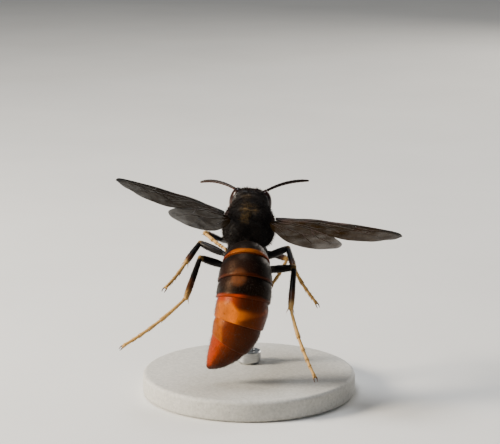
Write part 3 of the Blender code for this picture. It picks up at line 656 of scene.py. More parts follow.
legs = {
    "coxaBase": {"fore": (0.9, 2.3, -1.9), "mid": (1.1, 0.1, -2.1), "hind": (1.25, -1.9, -1.9)},
    "coxaTip": {"fore": (1.3, 2.7, -3.9), "mid": (1.9, -0.6, -4.7), "hind": (1.75, -3.2, -4.8)},
    "femur": {"fore": 3.4, "mid": 4.4, "hind": 5.0},
    "tibia": {"fore": 3.1, "mid": 3.9, "hind": 6.0},
    "tarsus": {"fore": 4.4, "mid": 5.2, "hind": 9.2}, "beads": (0.44, 0.19, 0.14, 0.09, 0.14),
    # azimuth and elevation: femur, tibia, tarsus where it starts and where it ends
    "headings": {
        ("fore", "left"): ((33, -30), (124, 29), (-148, -1), (-134, -1)),
        ("fore", "right"): ((36, -45), (118, 4), (-164, -20), (-150, -24)),
        ("mid", "left"): ((58, 2), (158, -15), (160, -18), (153, -8)),
        ("mid", "right"): ((51, 9), (167, -10), (142, -34), (135, -22)),
        ("hind", "left"): ((125, 27), (168, -27), (126, -40), (111, -31)),
        ("hind", "right"): ((113, 24), (180, -25), (162, -31), (148, -26)),
    },
    "femurShape": [(0.0, 0.38), (0.1, 0.42), (0.17, 0.34), (0.3, 0.46), (0.5, 0.53), (0.78, 0.5),
                   (1.0, 0.36)],
    "tibiaShape": [(0.0, 0.32), (0.18, 0.36), (0.45, 0.41), (0.8, 0.43), (1.0, 0.34)],
    "thickness": 0.88, "steps": 80,
    # length and radius of the spurs and of the spines on the beads
    "spur": (0.85, 0.07), "spine": (0.26, 0.04), "clawLength": 0.92, "clawRadii": (0.13, 0.035),
    "hipRadii": (0.33, 0.34), "kneeRadii": (0.3, 0.28), "padHalf": (0.14, 0.14, 0.1),
    # widest radius of the first bead, how much less each next one has, and the share drawn
    "beadRadius": 0.27, "beadThinner": 0.012, "beadDrawn": 0.92,
    # share of the tibia that is tan at its end, and how tan the knee is, partly its own colour and
    # partly a painted highlight
    "tanEnd": {"fore": 0.2, "mid": 0.2, "hind": 0.34},
    "kneeTanAndHighlight": {"fore": 0.3, "mid": 0.3, "hind": 0.6},
    # one bead of the tarsus: how far along it, its radius, and its share of the widest radius
    "beadShape": [(0.0, 0.13, 0.0), (0.05, 0.17, 0.0), (0.14, 0.175, 0.0), (0.55, 0.0, 0.85),
                  (0.85, 0.0, 1.0), (0.96, 0.0, 0.98), (1.0, 0.0, 0.7)],
}


def thoraxSkin():
    inset = thorax["coatDepth"]
    rings = []
    for index in range(thorax["rings"] + 1):
        along = mixed(thorax["core"][0][0], thorax["core"][-1][0], index / thorax["rings"])
        half, top, bottom = readCurve(thorax["core"], along)
        height = (top - bottom) / 2 - inset
        ring = []
        for k in range(thorax["around"]):
            turn = math.tau * (k + 0.5) / thorax["around"]
            x = squared(math.cos(turn), thorax["squareness"])
            z = squared(math.sin(turn), thorax["squareness"])
            ring.append(Vector((x * (half - inset), -along, (top + bottom) / 2 + z * height)))
        rings.append(ring)
    parts = [rolledSkin(rings)]
    for centre, radii in thorax["lobes"]:
        radii = [radius - inset for radius in radii]
        for side in ((1, -1) if centre[0] else (1,)):
            parts.append(ellipsoid(mirrored(centre, side), radii))
    spots, coxaRadii = zip(*thorax["coxa"])
    for side in (1, -1):
        for pair in legs["coxaBase"]:
            base = mirrored(legs["coxaBase"][pair], side)
            tip = mirrored(legs["coxaTip"][pair], side)
            parts.append(limb([mixed(base, tip, spot) for spot in spots], coxaRadii, 20))
        inner = mirrored(thorax["hingeRoot"], side)
        outer = mirrored(thorax["wingRoot"], side) - Vector((0.12 * side, 0, 0.1))
        parts.append(limb([inner, mixed(inner, outer, 0.6), outer], thorax["hingeRadii"], 20))
    for start, end, radii in thorax["necks"]:
        parts.append(limb([Vector(start), Vector(end)], radii, 20))
    return fusedSkin(parts, thorax)


def thoraxShade(place, normal):
    # Black, with a faint painted brown sheen on the surfaces that face up, and a brown patch under
    # each wing root.
    topSheen = eased(0.5, 1.0, normal.z) * 0.35
    colour = blended("black", "brownBlack", topSheen)
    hinge = (toRight(place) - thorax["wingRoot"]).length
    return blended(colour, "plumBrown", 0.7 * eased(0.8, 0.4, hinge))


bodySkin = thoraxSkin()
paintSkin(bodySkin, thoraxShade)
# the hair grows on a copy, since making the piece uses the skin up
thoraxCopy = bodySkin.copy()
makePiece("thoraxSkin", bodySkin, velvetCuticle, "body_black", ["thorax"])
tegulae = joined([ellipsoid(mirrored(thorax["shoulder"], side), (0.34, 0.62, 0.24), 32, 20,
                            Matrix.Rotation(math.radians(28 * side), 3, "Y")) for side in (1, -1)])
paintSkin(tegulae, lambda place, normal: blended("brownBlack", "plumBrown",
                                                 eased(0.2, 1.0, place.y)))
makePiece("wingShoulders", tegulae, legCuticle, "leg_black")
print("thorax made")


# Head: a broad skull with a raised face shield, brow, ocelli, kidney eyes and toothed jaws.

head = {
    "centre": Vector((0.0, 5.05, 0.02)), "halfWidth": 2.45, "halfHeight": 2.12, "depth": 1.15,
    "coatDepth": 0.06, "voxel": 0.055, "smoothing": 3,
    "eyeCentre": Vector((1.95, 5.42, 0.33)), "eyeHalf": Vector((0.74, 0.92, 1.54)), "eyeLean": 10.0,
    "antennaRoot": Vector((0.6, 6.35, 0.45)), "notchDepth": 0.5, "notchAt": 0.08, "notchHalf": 0.3,
    # face shield and the swelling between the antennae
    "lobes": [((0.0, 5.85, -0.95), (1.34, 0.57, 0.95)), ((0.0, 5.96, 0.43), (0.58, 0.34, 0.68))],
    # cheek behind the eye, face lobe in the eye's notch, antenna's socket, cheek under the eye
    "pairs": [((1.6, 4.9, 0.0), (0.74, 0.85, 1.6)), ((1.38, 5.98, 0.42), (0.42, 0.34, 0.34)),
              ((0.6, 6.06, 0.42), (0.38, 0.22, 0.38)), ((1.24, 5.5, -1.55), (0.53, 0.55, 0.5))],
    # depth, width and lines: round the face shield, down the brow, down the back of the head
    "furrows": [
        (0.1, 0.07, [[(0, 6.35, 0.02), (0.7, 6.3, -0.15), (1.3, 6.1, -0.7), (1.42, 5.9, -1.3),
                      (0.9, 6.05, -1.85), (0, 6.2, -1.75)]]),
        (0.05, 0.06, [[(0, 6.3, 1.1), (0, 5.95, 1.7), (0, 5.6, 2.1)]]),
        (0.04, 0.08, [[(0, 4.9, 2.35), (0, 4.2, 1.9), (0, 3.95, 1.0)]])],
    "jaw": [(0.0, 1.34, 5.55, -1.5, 0.52), (0.5, 1.12, 5.95, -2.1, 0.5),
            (1.0, 0.52, 6.15, -2.7, 0.34)],
    # where each tooth stands on the jaw, its radius and length
    "teeth": [(0.62, 0.13, 0.24), (0.76, 0.15, 0.28), (0.88, 0.16, 0.3), (0.98, 0.2, 0.34)],
    # palps: root, end
    "palps": [((0.42, 5.3, -2.2), (0.5, 5.4, -2.75)), ((0.62, 5.0, -2.05), (0.95, 5.0, -2.7))],
    "ocelli": [(0.0, 5.5, 1.8), (-0.42, 5.15, 1.96), (0.42, 5.15, 1.96)],
    "ocellusHalf": (0.19, 0.19, 0.17),
    # upper lip and folded tongue: middle, half sizes
    "mouth": [((0, 5.98, -1.93), (0.5, 0.16, 0.2)), ((0, 5.45, -2.1), (0.4, 0.35, 0.42))],
    # middle of the antenna's socket: where it is painted dark and where no hair grows
    "socketDark": Vector((0.62, 6.15, 0.55)), "socketBare": Vector((0.62, 6.2, 0.55)),
}


def skull(point):
    # squared a little at the upper corners, so that the skull rises behind the eyes
    square = 0.94 if point.z > 0 else 1.0
    x = squared(point.x, square) * (head["halfWidth"] - head["coatDepth"])
    y = squared(point.y, 0.6) * (head["depth"] - head["coatDepth"])
    z = squared(point.z, square) * (head["halfHeight"] - head["coatDepth"])
    if point.z < 0:
        x *= 1.0 - 0.36 * abs(point.z) ** 1.6
    z -= 0.14 * math.exp(-(point.x / 0.3) ** 2) * max(point.z, 0.0)
    return head["centre"] + Vector((x, y, z))


def headSkin():
    parts = [shapedBall(skull, 72, 44)]
    parts += [ellipsoid(centre, radii) for centre, radii in head["lobes"]]
    for side in (1, -1):
        parts += [ellipsoid(mirrored(centre, side), radii) for centre, radii in head["pairs"]]
    return fusedSkin(parts, head)


def headShade(place, normal):
    # Orange face shield, inner eye margins and cheeks under a black crown.
    side = abs(place.x)
    wave = noise.noise(place * 1.3) * 0.12
    front = eased(5.65, 5.95, place.y + wave)
    face = front * eased(1.35, 1.05, place.z + wave)
    eyeMargin = front * eased(1.75, 1.55, place.z) * eased(0.95, 1.15, side)
    cheek = eased(1.45, 1.65, side) * eased(0.35, -0.1, place.z) * eased(4.25, 4.6, place.y)
    # a faint painted brown sheen on the surfaces that face up
    colour = blended("black", "brownBlack", eased(0.6, 1.0, normal.z) * 0.4)
    colour = blended(colour, "deepOrange", 0.8 * cheek)
    colour = blended(colour, "faceOrange", max(face, eyeMargin))
    socket = (toRight(place) - head["socketDark"]).length
    colour = blended(colour, "brownBlack", 0.85 * eased(0.4, 0.28, socket))
    lowerRim = eased(-1.72, -1.9, place.z) * front
    return blended(colour, "brownBlack", 0.7 * lowerRim)


headBody = headSkin()
paintSkin(headBody, headShade)
headCopy = headBody.copy()
makePiece("headSkin", headBody, faceCuticle, "body_black", ["head"])


def eyeBall(side):
    half = head["eyeHalf"]
    lean = Matrix.Rotation(math.radians(-side * head["eyeLean"]), 3, "Y")

    def kidney(point):
        off = (point.z - head["notchAt"]) / head["notchHalf"]
        notch = head["notchDepth"] * math.exp(-off ** 2) * max(-point.x * side, 0.0)
        stretched = Vector((point.x * half.x + side * notch, point.y * half.y, point.z * half.z))
        return mirrored(head["eyeCentre"], side) + lean @ stretched - Vector((side * 0.06, 0, 0))
    return shapedBall(kidney, 64, 44)


def jawShape(side):
    # A stout curved blade, flattened towards its inner edge, with four teeth at its end.
    rows = [readCurve(head["jaw"], index / 14) for index in range(15)]
    parts = [limb([Vector((row[0] * side, row[1], row[2])) for row in rows],
                  [row[3] * 0.94 for row in rows], 28, 0.8)]
    for index, (spot, size, length) in enumerate(head["teeth"]):
        x, y, z, radius = readCurve(head["jaw"], spot)
        root = Vector((x * side, y, z)) - Vector((side * radius * 0.55, 0, 0))
        reach = Vector((-side * 0.85, 0.1, -0.5 - 0.15 * index)).normalized() * length
        parts.append(limb([root, root + reach * 0.6, root + reach],
                          (size, size * 0.7, size * 0.25), 12))
    whole = joined(parts)

    def shade(place, normal):
        spot = (-1.5 - place.z) / 1.2
        inner = eased(0.75, 0.4, abs(place.x) + 0.25 * (place.z + 2.4))
        colour = blended("jawOrange", "faceOrange", 0.4 * eased(0.6, 0.1, spot))
        return blended(colour, "black", max(eased(0.78, 1.0, spot), inner))
    paintSkin(whole, shade)
    return whole


def mouthParts():
    # Upper lip, folded tongue and two pairs of jointed palps behind the jaws.
    parts = [ellipsoid(centre, radii, 28, 16) for centre, radii in head["mouth"]]
    for side in (1, -1):
        for start, end in head["palps"]:
            first = mirrored(start, side)
            last = mirrored(end, side)
            bow = Vector((side * 0.12, 0.1, 0))
            points = [mixed(first, last, index / 8) + bow * math.sin(math.pi * index / 8)
                      for index in range(9)]
            parts.append(limb(points, [0.07 if index % 2 else 0.055 for index in range(9)], 10))
    whole = joined(parts)
    paintSkin(whole, lambda place, normal: blended("jawOrange", "legBrown",
                                                   eased(-1.9, -2.4, place.z)))
    return whole


for sideName, side in sides.items():
    makePiece(f"eye_{sideName}_lens", eyeBall(side), lensSkin, "eye_brown", [f"eye_{sideName}"])
    makePiece(f"jaw_{sideName}", jawShape(side), faceCuticle, "jaw_orange",
              [f"mandible_{sideName}"])
makePiece("mouthParts", mouthParts(), faceCuticle, "jaw_orange")
simpleEyes = joined([ellipsoid(place, head["ocellusHalf"], 24, 14) for place in head["ocelli"]])
makePiece("ocelliLenses", simpleEyes, lensSkin, "eye_brown")
print("head made")


# Antennae: a long scape, a small pedicel and ten ringed joints.

antenna = {
    "scape": 2.0, "flagellum": 6.2, "joints": 10,
    "headings": {"left": ((49, 3), (50, 2), (44, -34)), "right": ((42, 8), (49, 14), (66, -6))},
    "thickness": [(0.0, 0.17), (0.12, 0.19), (0.5, 0.21), (0.85, 0.19), (1.0, 0.13)],
    "scapeShape": [(0, 0.17), (0.15, 0.2), (0.6, 0.26), (0.93, 0.24), (1, 0.17)],
    # one joint: how far along it, share of the thickness there
    "jointShape": [(0.0, 0.8), (0.06, 0.93), (0.3, 0.98), (0.7, 1.03), (0.93, 1.0), (1.0, 0.9)],
    "overlap": 0.12, "steps": 80, "scapeSteps": 12, "bow": 0.06, "elbowRadii": (0.17, 0.2),
    # length of the first and last joint of the flagellum against the ones between
    "firstJoint": 1.7, "lastJoint": 1.15,
}


def underShade(low, high, tone, most):
    # Brown black on top, running to a tone below.
    return lambda place, normal: blended("brownBlack", tone, most * eased(low, high, normal.z))


def antennaParts(sideName, side):
    headings = [heading(*row, side) for row in antenna["headings"][sideName]]
    root = mirrored(head["antennaRoot"], side)
    elbow = root + headings[0] * antenna["scape"]
    foot = root - headings[0] * antenna["overlap"]
    bow = headings[0].cross(Vector((0, 0, 1))).normalized() * antenna["bow"] * side
    points = []
    radii = []
    for index in range(antenna["scapeSteps"] + 1):
        amount = index / antenna["scapeSteps"]
        points.append(mixed(foot, elbow, amount) + bow * math.sin(math.pi * amount))
        neck = 0.55 if 0.06 < amount < 0.12 else 1.0
        radii.append(readCurve(antenna["scapeShape"], amount)[0] * neck)
    ball = limb([elbow - headings[0] * 0.02, elbow + headings[1] * 0.2],
                antenna["elbowRadii"], 16)
    scape = joined([limb(points, radii, 18), ball])
    path = bentPath(elbow + headings[1] * antenna["overlap"], headings[1], headings[2],
                    antenna["flagellum"] - antenna["overlap"], antenna["steps"])
    beads = []
    done = 0.0
    shares = ([antenna["firstJoint"]] + [1.0] * (antenna["joints"] - 2)
              + [antenna["lastJoint"]])
    spots, swells = zip(*antenna["jointShape"])
    for share in shares:
        share /= sum(shares)
        points, places = stretchOf(path, done, done + share, spots)
        radii = [readCurve(antenna["thickness"], place)[0] * swell
                 for place, swell in zip(places, swells)]
        beads.append(limb(points, radii, 16))
        done += share
    flagellum = joined(beads)
    paintSkin(flagellum, underShade(0.1, -0.6, "legBrown", 1.0))
    paintSkin(scape, underShade(0.3, -0.5, "deepOrange", 0.6))
    return scape, flagellum


for sideName, side in sides.items():
    scape, flagellum = antennaParts(sideName, side)
    makePiece(f"scapeRod_{sideName}", scape, legCuticle, "leg_black", [f"scape_{sideName}"])
    makePiece(f"feeler_{sideName}", flagellum, legCuticle, "leg_black", [f"flagellum_{sideName}"])
print("antennae made")


# Legs: femur and tibia as one skin with the knee closed, then five beads, spurs and claws.

def shapedLimb(start, end, profile, count=26):
    spots = [index / count for index in range(count + 1)]
    return ([mixed(start, end, spot) for spot in spots],
            [readCurve(profile, spot)[0] * legs["thickness"] for spot in spots])


def spine(root, reach, length, thick, around=7):
    points = [root, root + reach * length * 0.5, root + reach * length]
    return limb(points, (thick, thick * 0.7, thick * 0.15), around)


# for the bristles: points, radii, hair colour and share of the hair's length
limbLines = []


def legPieces(pair, sideName, side):
    ways = [heading(*row, side) for row in legs["headings"][(pair, sideName)]]
    hip = mirrored(legs["coxaTip"][pair], side)
    knee = hip + ways[0] * legs["femur"][pair]
    ankle = knee + ways[1] * legs["tibia"][pair]
    coxaWay = (hip - mirrored(legs["coxaBase"][pair], side)).normalized()
    # femur, trochanter, a small ball in the knee, tibia
    femur = shapedLimb(hip - coxaWay * 0.05, knee, legs["femurShape"])
    tibia = shapedLimb(knee, ankle, legs["tibiaShape"])
    limbLines.extend((*line, "hairBrown", 1.0) for line in (femur, tibia))
    parts = [limb(*femur, 18),
             limb([hip - coxaWay * 0.28, hip + ways[0] * 0.12], legs["hipRadii"], 16),
             limb([knee - ways[0] * 0.08, knee + ways[1] * 0.1], legs["kneeRadii"], 16),
             limb(*tibia, 18)]
    spurWay = (ways[1] + Vector((0, 0, -0.45))).normalized()
    across = ways[1].cross(spurWay).normalized()
    for tilt in ((-1, 1) if pair != "fore" else (0.4,)):
        root = ankle - ways[1] * 0.14 + across * tilt * 0.22
        parts.append(spine(root, (spurWay + across * tilt * 0.35).normalized(), *legs["spur"]))
    upper = joined(parts)
    longEnd = legs["tanEnd"][pair]

    def shade(place, normal):
        # Black, turning brown then tan over the last part of the tibia; the tan knee is partly a
        # painted highlight.
        left = (ankle - place).dot(ways[1]) / legs["tibia"][pair]
        fromKnee = place - knee
        onTibia = fromKnee.dot(ways[1]) > 0 and fromKnee.length < legs["tibia"][pair] + 1
        wave = noise.noise(place * 1.4) * 0.08
        change = eased(longEnd + 0.2, longEnd - 0.08, left + wave) if onTibia else 0.0
        tan = eased(longEnd * 0.75, 0.02, left + wave) if onTibia else 0.0
        kneeTanAndHighlight = legs["kneeTanAndHighlight"][pair] * eased(0.55, 0.15, fromKnee.length)
        return blended(blended("black", "legBrown", change), "tarsusYellow",
                       max(0.75 * tan, kneeTanAndHighlight))
    paintSkin(upper, shade)

    path = bentPath(ankle, ways[2], ways[3], legs["tarsus"][pair], legs["steps"])
    beads = []
    done = 0.0
    for number, share in enumerate(legs["beads"]):
        widest = (legs["beadRadius"] - legs["beadThinner"] * number) * legs["beadDrawn"]
        spots, radii, shares = zip(*legs["beadShape"])
        radii = [radius + widest * part for radius, part in zip(radii, shares)]
        points, _ = stretchOf(path, done, done + share * 0.99, spots)
        limbLines.append((points, radii, "hairGold", 0.75))
        beads.append(limb(points, radii))
        ahead = (points[-1] - points[-3]).normalized()
        sideways = ahead.cross(Vector((0, 0, 1))).normalized()
        for tilt in (-1, 1):
            root = points[-2] + sideways * tilt * widest * 0.7 - Vector((0, 0, widest * 0.5))
            reach = (ahead + sideways * tilt * 0.5 - Vector((0, 0, 0.35))).normalized()
            beads.append(spine(root, reach, *legs["spine"], 5))
        done += share
    tip = path[-1]
    end = ways[3]
    sideways = end.cross(Vector((0, 0, 1))).normalized()
    for tilt in (-1, 1):
        outward = (end + sideways * tilt * 0.8).normalized()
        inward = (end - sideways * tilt * 0.45 + Vector((0, 0, -0.9))).normalized()
        claw = bentPath(tip - end * 0.12, outward, inward, legs["clawLength"], 10)
        beads.append(limb(claw, [mixed(*legs["clawRadii"], index / 10) for index in range(11)], 10))
    beads.append(ellipsoid(tip + end * 0.12 - Vector((0, 0, 0.06)), legs["padHalf"], 16, 10))
    lower = joined(beads)

    def footShade(place, normal):
        wave = noise.noise(place * 1.1) * 0.3
        colour = blended("tarsusYellow", "legBrown", 0.18 + wave)
        return blended(colour, "legBrown", eased(0.05, 0.4, (place - tip).dot(end)))
    paintSkin(lower, footShade)
    return upper, lower


for sideName, side in sides.items():
    for pair in ("fore", "mid", "hind"):
        upper, lower = legPieces(pair, sideName, side)
        where = f"{pair}_{sideName}"
        makePiece(f"leg_{where}", upper, legCuticle, "leg_black",
                  [f"femur_{where}", f"tibia_{where}"])
        makePiece(f"foot_{where}", lower, legCuticle, "tarsus_yellow", [f"tarsus_{where}"])
print("legs made")


# Wings: a crinkled membrane drawn between its front and rear edge, and veins as tapered tubes.

wings = {
    "sweep": {"left": 129.0, "right": 126.0}, "raise": {"left": 21.5, "right": 12.0},
    "twist": {"left": 13.0, "right": 12.0}, "membrane": 0.05, "veinWidth": 0.85,
    "columns": 120, "rows": 34, "arch": 0.45, "lift": 0.0022, "pleat": 0.035, "hindDrop": 0.07,
    # right wing seen from above: x runs to the tip, y towards the leading edge
    "foreFront": [(0.15, 0.38), (3.0, 1.15), (7.0, 1.85), (11.0, 2.3), (14.0, 2.3), (16.2, 1.8),
                  (17.4, 1.2), (18.1, 0.65), (18.43, 0.2), (18.5, -0.15)],
    "foreRear": [(0.15, 0.38), (0.6, -0.42), (3.5, -0.9), (7.0, -1.75), (10.2, -2.65),
                 (12.6, -3.0), (14.8, -2.8), (16.6, -2.15), (17.7, -1.4), (18.25, -0.85),
                 (18.46, -0.45), (18.5, -0.15)],
    "hindFront": [(0.45, -0.4), (3.5, -0.84), (7.0, -1.66), (10.2, -2.5), (11.8, -3.2),
                  (12.6, -3.75), (13.0, -4.2), (13.1, -4.6)],
    "hindRear": [(0.45, -0.4), (0.55, -1.5), (1.5, -2.7), (3.2, -4.1), (5.6, -5.4), (8.4, -6.1),
                 (10.8, -6.02), (12.2, -5.6), (12.85, -5.1), (13.1, -4.6)],
}
# each vein: its line, then its radius at the root and at the end
foreVeins = {
    "costa": ([(0.2, 0.26), (3.0, 1.02), (7.0, 1.72), (11.0, 2.17), (13.9, 2.18), (16.2, 1.72)],
              0.17, 0.07),
    "radius": ([(0.3, 0.1), (3.0, 0.72), (7.0, 1.4), (10.2, 1.85)], 0.14, 0.1),
    "stigma": ([(9.6, 1.86), (10.6, 1.96), (11.7, 2.05)], 0.17, 0.12),
    "media": ([(0.5, 0.0), (3.5, 0.35), (6.6, 0.62)], 0.1, 0.08),
    "basal": ([(8.6, 1.62), (6.6, 0.62), (6.1, 0.1)], 0.08, 0.08),
    "radial": ([(10.6, 1.9), (11.6, 1.0), (13.6, 0.85), (15.9, 1.68)], 0.09, 0.06),
    "discoidalFront": ([(6.6, 0.62), (9.4, 0.4), (11.9, 0.1), (13.6, -0.35), (15.6, -0.7)],
                       0.09, 0.04),
    "submarginal1": ([(9.4, 0.4), (10.3, 1.0), (11.1, 1.25)], 0.07, 0.06),
    "submarginal2": ([(11.9, 0.1), (12.4, 0.88)], 0.06, 0.06),
    "submarginal3": ([(13.6, -0.35), (14.0, 0.95)], 0.06, 0.05),
    "cubital": ([(0.6, -0.18), (3.5, -0.2), (6.1, 0.1), (8.6, -0.75), (10.6, -1.3)], 0.1, 0.06),
    "recurrent1": ([(9.4, 0.4), (8.6, -0.75)], 0.06, 0.06),
    "recurrent2": ([(11.9, 0.1), (10.6, -1.3), (10.3, -2.2)], 0.06, 0.04),
    "anal": ([(0.8, -0.3), (4.0, -0.75), (7.2, -1.4), (8.6, -0.75)], 0.08, 0.06),
}
hindVeins = {
    "costa": ([(0.6, -0.85), (3.6, -1.08), (6.9, -1.84), (9.8, -2.62)], 0.12, 0.06),
    "radial": ([(6.9, -1.9), (8.4, -3.1), (11.6, -4.3)], 0.07, 0.04),
    "cubital": ([(1.0, -1.5), (4.0, -2.6), (6.6, -3.3), (8.4, -3.2)], 0.08, 0.06),
    "cubitalEnd": ([(6.6, -3.3), (9.4, -5.0)], 0.06, 0.035),
    "anal": ([(0.9, -1.7), (3.2, -3.1), (5.4, -4.5)], 0.07, 0.035),
}


def wingHeight(x, y, hind):
    # The blade arches along its chord, lifts to its tip and is pleated a little between veins.
    arch = wings["arch"] * math.cos(math.radians(y * 22.0)) * min(x / 6.0, 1.0)
    pleat = wings["pleat"] * math.sin(y * 4.2 + x * 0.5) * min(x / 3.0, 1.0)
    return arch + wings["lift"] * x * x + pleat - (wings["hindDrop"] if hind else 0.0)


def wingPlacing(sideName, side):
    out = heading(wings["sweep"][sideName], wings["raise"][sideName], side)
    leading = (Vector((0, 1, 0)) - out * out.y).normalized()
    leading = Quaternion(out, math.radians(-side * wings["twist"][sideName])) @ leading
    across = out * side
    placing = Matrix((across, leading, across.cross(leading))).transposed().to_4x4()
    placing.translation = mirrored(thorax["wingRoot"], side)
    return placing


def wingSheet(front, rear, side, hind):
    # A grid between the edge lines, closer-spaced towards root and tip, so both come out round.
    bm = bmesh.new()
    bmesh.ops.create_grid(bm, x_segments=wings["columns"], y_segments=wings["rows"], size=0.5)
    layer = bm.verts.layers.float_color.new("markingAndLight")
    edges = []
    for line in (front, rear):
        across = []
        ahead = []
        for point in smoothPath(line, 0.1):
            if not across or point.x > across[-1] + 0.01:
                across.append(point.x)
                ahead.append(point.y)
        edges.append((across, ahead))
    for vert in bm.verts:
        u = vert.co.x + 0.5
        x = mixed(front[0][0], front[-1][0], 0.5 - 0.5 * math.cos(math.pi * u))
        top, low = (float(np.interp(x, *edge)) for edge in edges)
        y = mixed(low, top, vert.co.y + 0.5)
        vert.co = Vector((x * side, y, wingHeight(x, y, hind)))
        dark = 0.0 if hind else eased(1.25, 0.25, top - y)
        wave = noise.noise(Vector((x * 0.5, y * 1.1, 3.0 if hind else 0.0)))
        tone = blended("wingBrown", "wingDark", 0.35 + 0.65 * dark + 0.3 * wave)
        veil = 0.9 + 0.1 * dark - 0.2 * eased(0.45, 1.0, u) + 0.06 * wave - (0.05 if hind else 0.0)
        vert[layer] = (*tone[:3], min(max(veil, 0.2), 0.98))
    bmesh.ops.remove_doubles(bm, verts=bm.verts, dist=1e-3)
    bmesh.ops.recalc_face_normals(bm, faces=bm.faces)
    bmesh.ops.solidify(bm, geom=bm.faces[:], thickness=wings["membrane"])
    bmesh.ops.recalc_face_normals(bm, faces=bm.faces)
    return bm


def wingVeins(veins, side, hind):
    tubes = []
    for line, thickRoot, thickEnd in veins.values():
        points = [Vector((p.x * side, p.y, wingHeight(p.x, p.y, hind) - wings["membrane"] / 2))
                  for p in smoothPath(line, 0.28)]
        count = len(points) - 1
        tubes.append(limb(points, [mixed(thickRoot, thickEnd, index / count) * wings["veinWidth"]
                                   for index in range(count + 1)], 10))
    return joined(tubes)


for sideName, side in sides.items():
    placing = wingPlacing(sideName, side)
    for name, front, rear, veins, hind in (
            ("forewing", wings["foreFront"], wings["foreRear"], foreVeins, False),
            ("hindwing", wings["hindFront"], wings["hindRear"], hindVeins, True)):
        sheet = wingSheet(front, rear, side, hind)
        sheet.transform(placing)
        makePiece(f"{name}Membrane_{sideName}", sheet, membrane, "wing_smoke",
                  [f"{name}_{sideName}"], sharp=60)
        ribs = wingVeins(veins, side, hind)
        ribs.transform(placing)
        paintSkin(ribs, lambda place, normal: blended("wingDark", "plumBrown",
                                                      0.35 + noise.noise(place * 0.6)))
        makePiece(f"{name}Veins_{sideName}", ribs, veinCuticle, "wing_smoke")
print("wings made")


# Coat: velvet and longer erect hair on thorax and head, short down on the tail and bristles on
# the legs. Each tuft is a three-sided lock, about twice as thick as a real hair.

coats = {
    "seed": 11, "tuftPatch": 0.0015, "sunk": 0.03,
    # long tufts stand up more; how far tufts stray along the skin and off it, and how they bend
    "longLean": 0.45, "strayAlong": 0.22, "strayOff": 0.12, "bend": 0.28,
    "leanVaries": (0.7, 1.3), "thickVaries": (0.75, 1.2), "toneVaries": (0.75, 1.25),
    # the lock is widest here, at this many times its root's width
    "lockCut": 0.45, "lockWidth": 1.4,
    # the tail's down, by distance along and by degrees round it, and where its end starts
    "tailStretch": (0.3, 16.2), "belly": (195, 345), "tailEnd": 12.5,
    "thorax": {"tufts": 19500, "length": (0.17, 0.32), "long": (0.36, 0.55), "longShare": 0.13,
               "thick": 0.019, "lean": 0.9, "rootTone": 0.6},
    "head": {"tufts": 14500, "length": (0.1, 0.2), "long": (0.26, 0.4), "longShare": 0.1,
             "thick": 0.016, "lean": 0.8, "rootTone": 0.7},
    "tail": {"tufts": 17000, "length": (0.12, 0.22), "long": (0.28, 0.42), "longShare": 0.05,
             "thick": 0.013, "lean": 2.4, "rootTone": 0.6},
    "legs": {"tufts": 13000, "length": (0.1, 0.2), "long": (0.22, 0.3), "longShare": 0.06,
             "thick": 0.013, "lean": 1.3, "rootTone": 0.7},
}
draw = np.random.default_rng(coats["seed"])


def tuftShape():
    # One lock: a thin cone on its root, with one cut where it is still nearly full.
    bm = bmesh.new()
    bmesh.ops.create_cone(bm, cap_ends=True, segments=3, radius1=1.0, radius2=0.0, depth=1.0)
    bmesh.ops.translate(bm, vec=(0, 0, 0.5), verts=bm.verts)
    bmesh.ops.remove_doubles(bm, verts=bm.verts, dist=1e-4)
    bmesh.ops.bisect_plane(bm, geom=bm.verts[:] + bm.edges[:] + bm.faces[:],
                           plane_co=(0, 0, coats["lockCut"]), plane_no=(0, 0, 1))
    for vert in bm.verts:
        if 0.1 < vert.co.z < 0.9:
            vert.co.x *= coats["lockWidth"]
            vert.co.y *= coats["lockWidth"]
    bmesh.ops.triangulate(bm, faces=bm.faces)
    bmesh.ops.recalc_face_normals(bm, faces=bm.faces)
    bm.verts.index_update()
    corners = np.array([vert.co for vert in bm.verts])
    faces = np.array([[vert.index for vert in face.verts] for face in bm.faces])
    bm.free()
    return corners, faces


tuftCorners, tuftFaces = tuftShape()


def unit(rows):
    return rows / np.maximum(np.linalg.norm(rows, axis=1, keepdims=True), 1e-9)


def rootsOn(bm, count, chance):
    # Roots spread evenly over a skin, thinned by chance(place, normal).
    bmesh.ops.triangulate(bm, faces=bm.faces)
    bm.normal_update()
    bm.verts.index_update()
    places = np.array([vert.co for vert in bm.verts])
    normals = np.array([vert.normal for vert in bm.verts])
    faces = np.array([[vert.index for vert in face.verts] for face in bm.faces])
    weights = np.array([face.calc_area() * chance(face.calc_center_median(), face.normal)
                        for face in bm.faces])
    chosen = faces[draw.choice(len(faces), count, p=weights / weights.sum())]
    share = draw.random((count, 2))
    share[share.sum(axis=1) > 1] = 1 - share[share.sum(axis=1) > 1]
    first, second, third = places[chosen].transpose(1, 0, 2)
    return (first + (second - first) * share[:, :1] + (third - first) * share[:, 1:],
            unit(normals[chosen].sum(axis=1)))


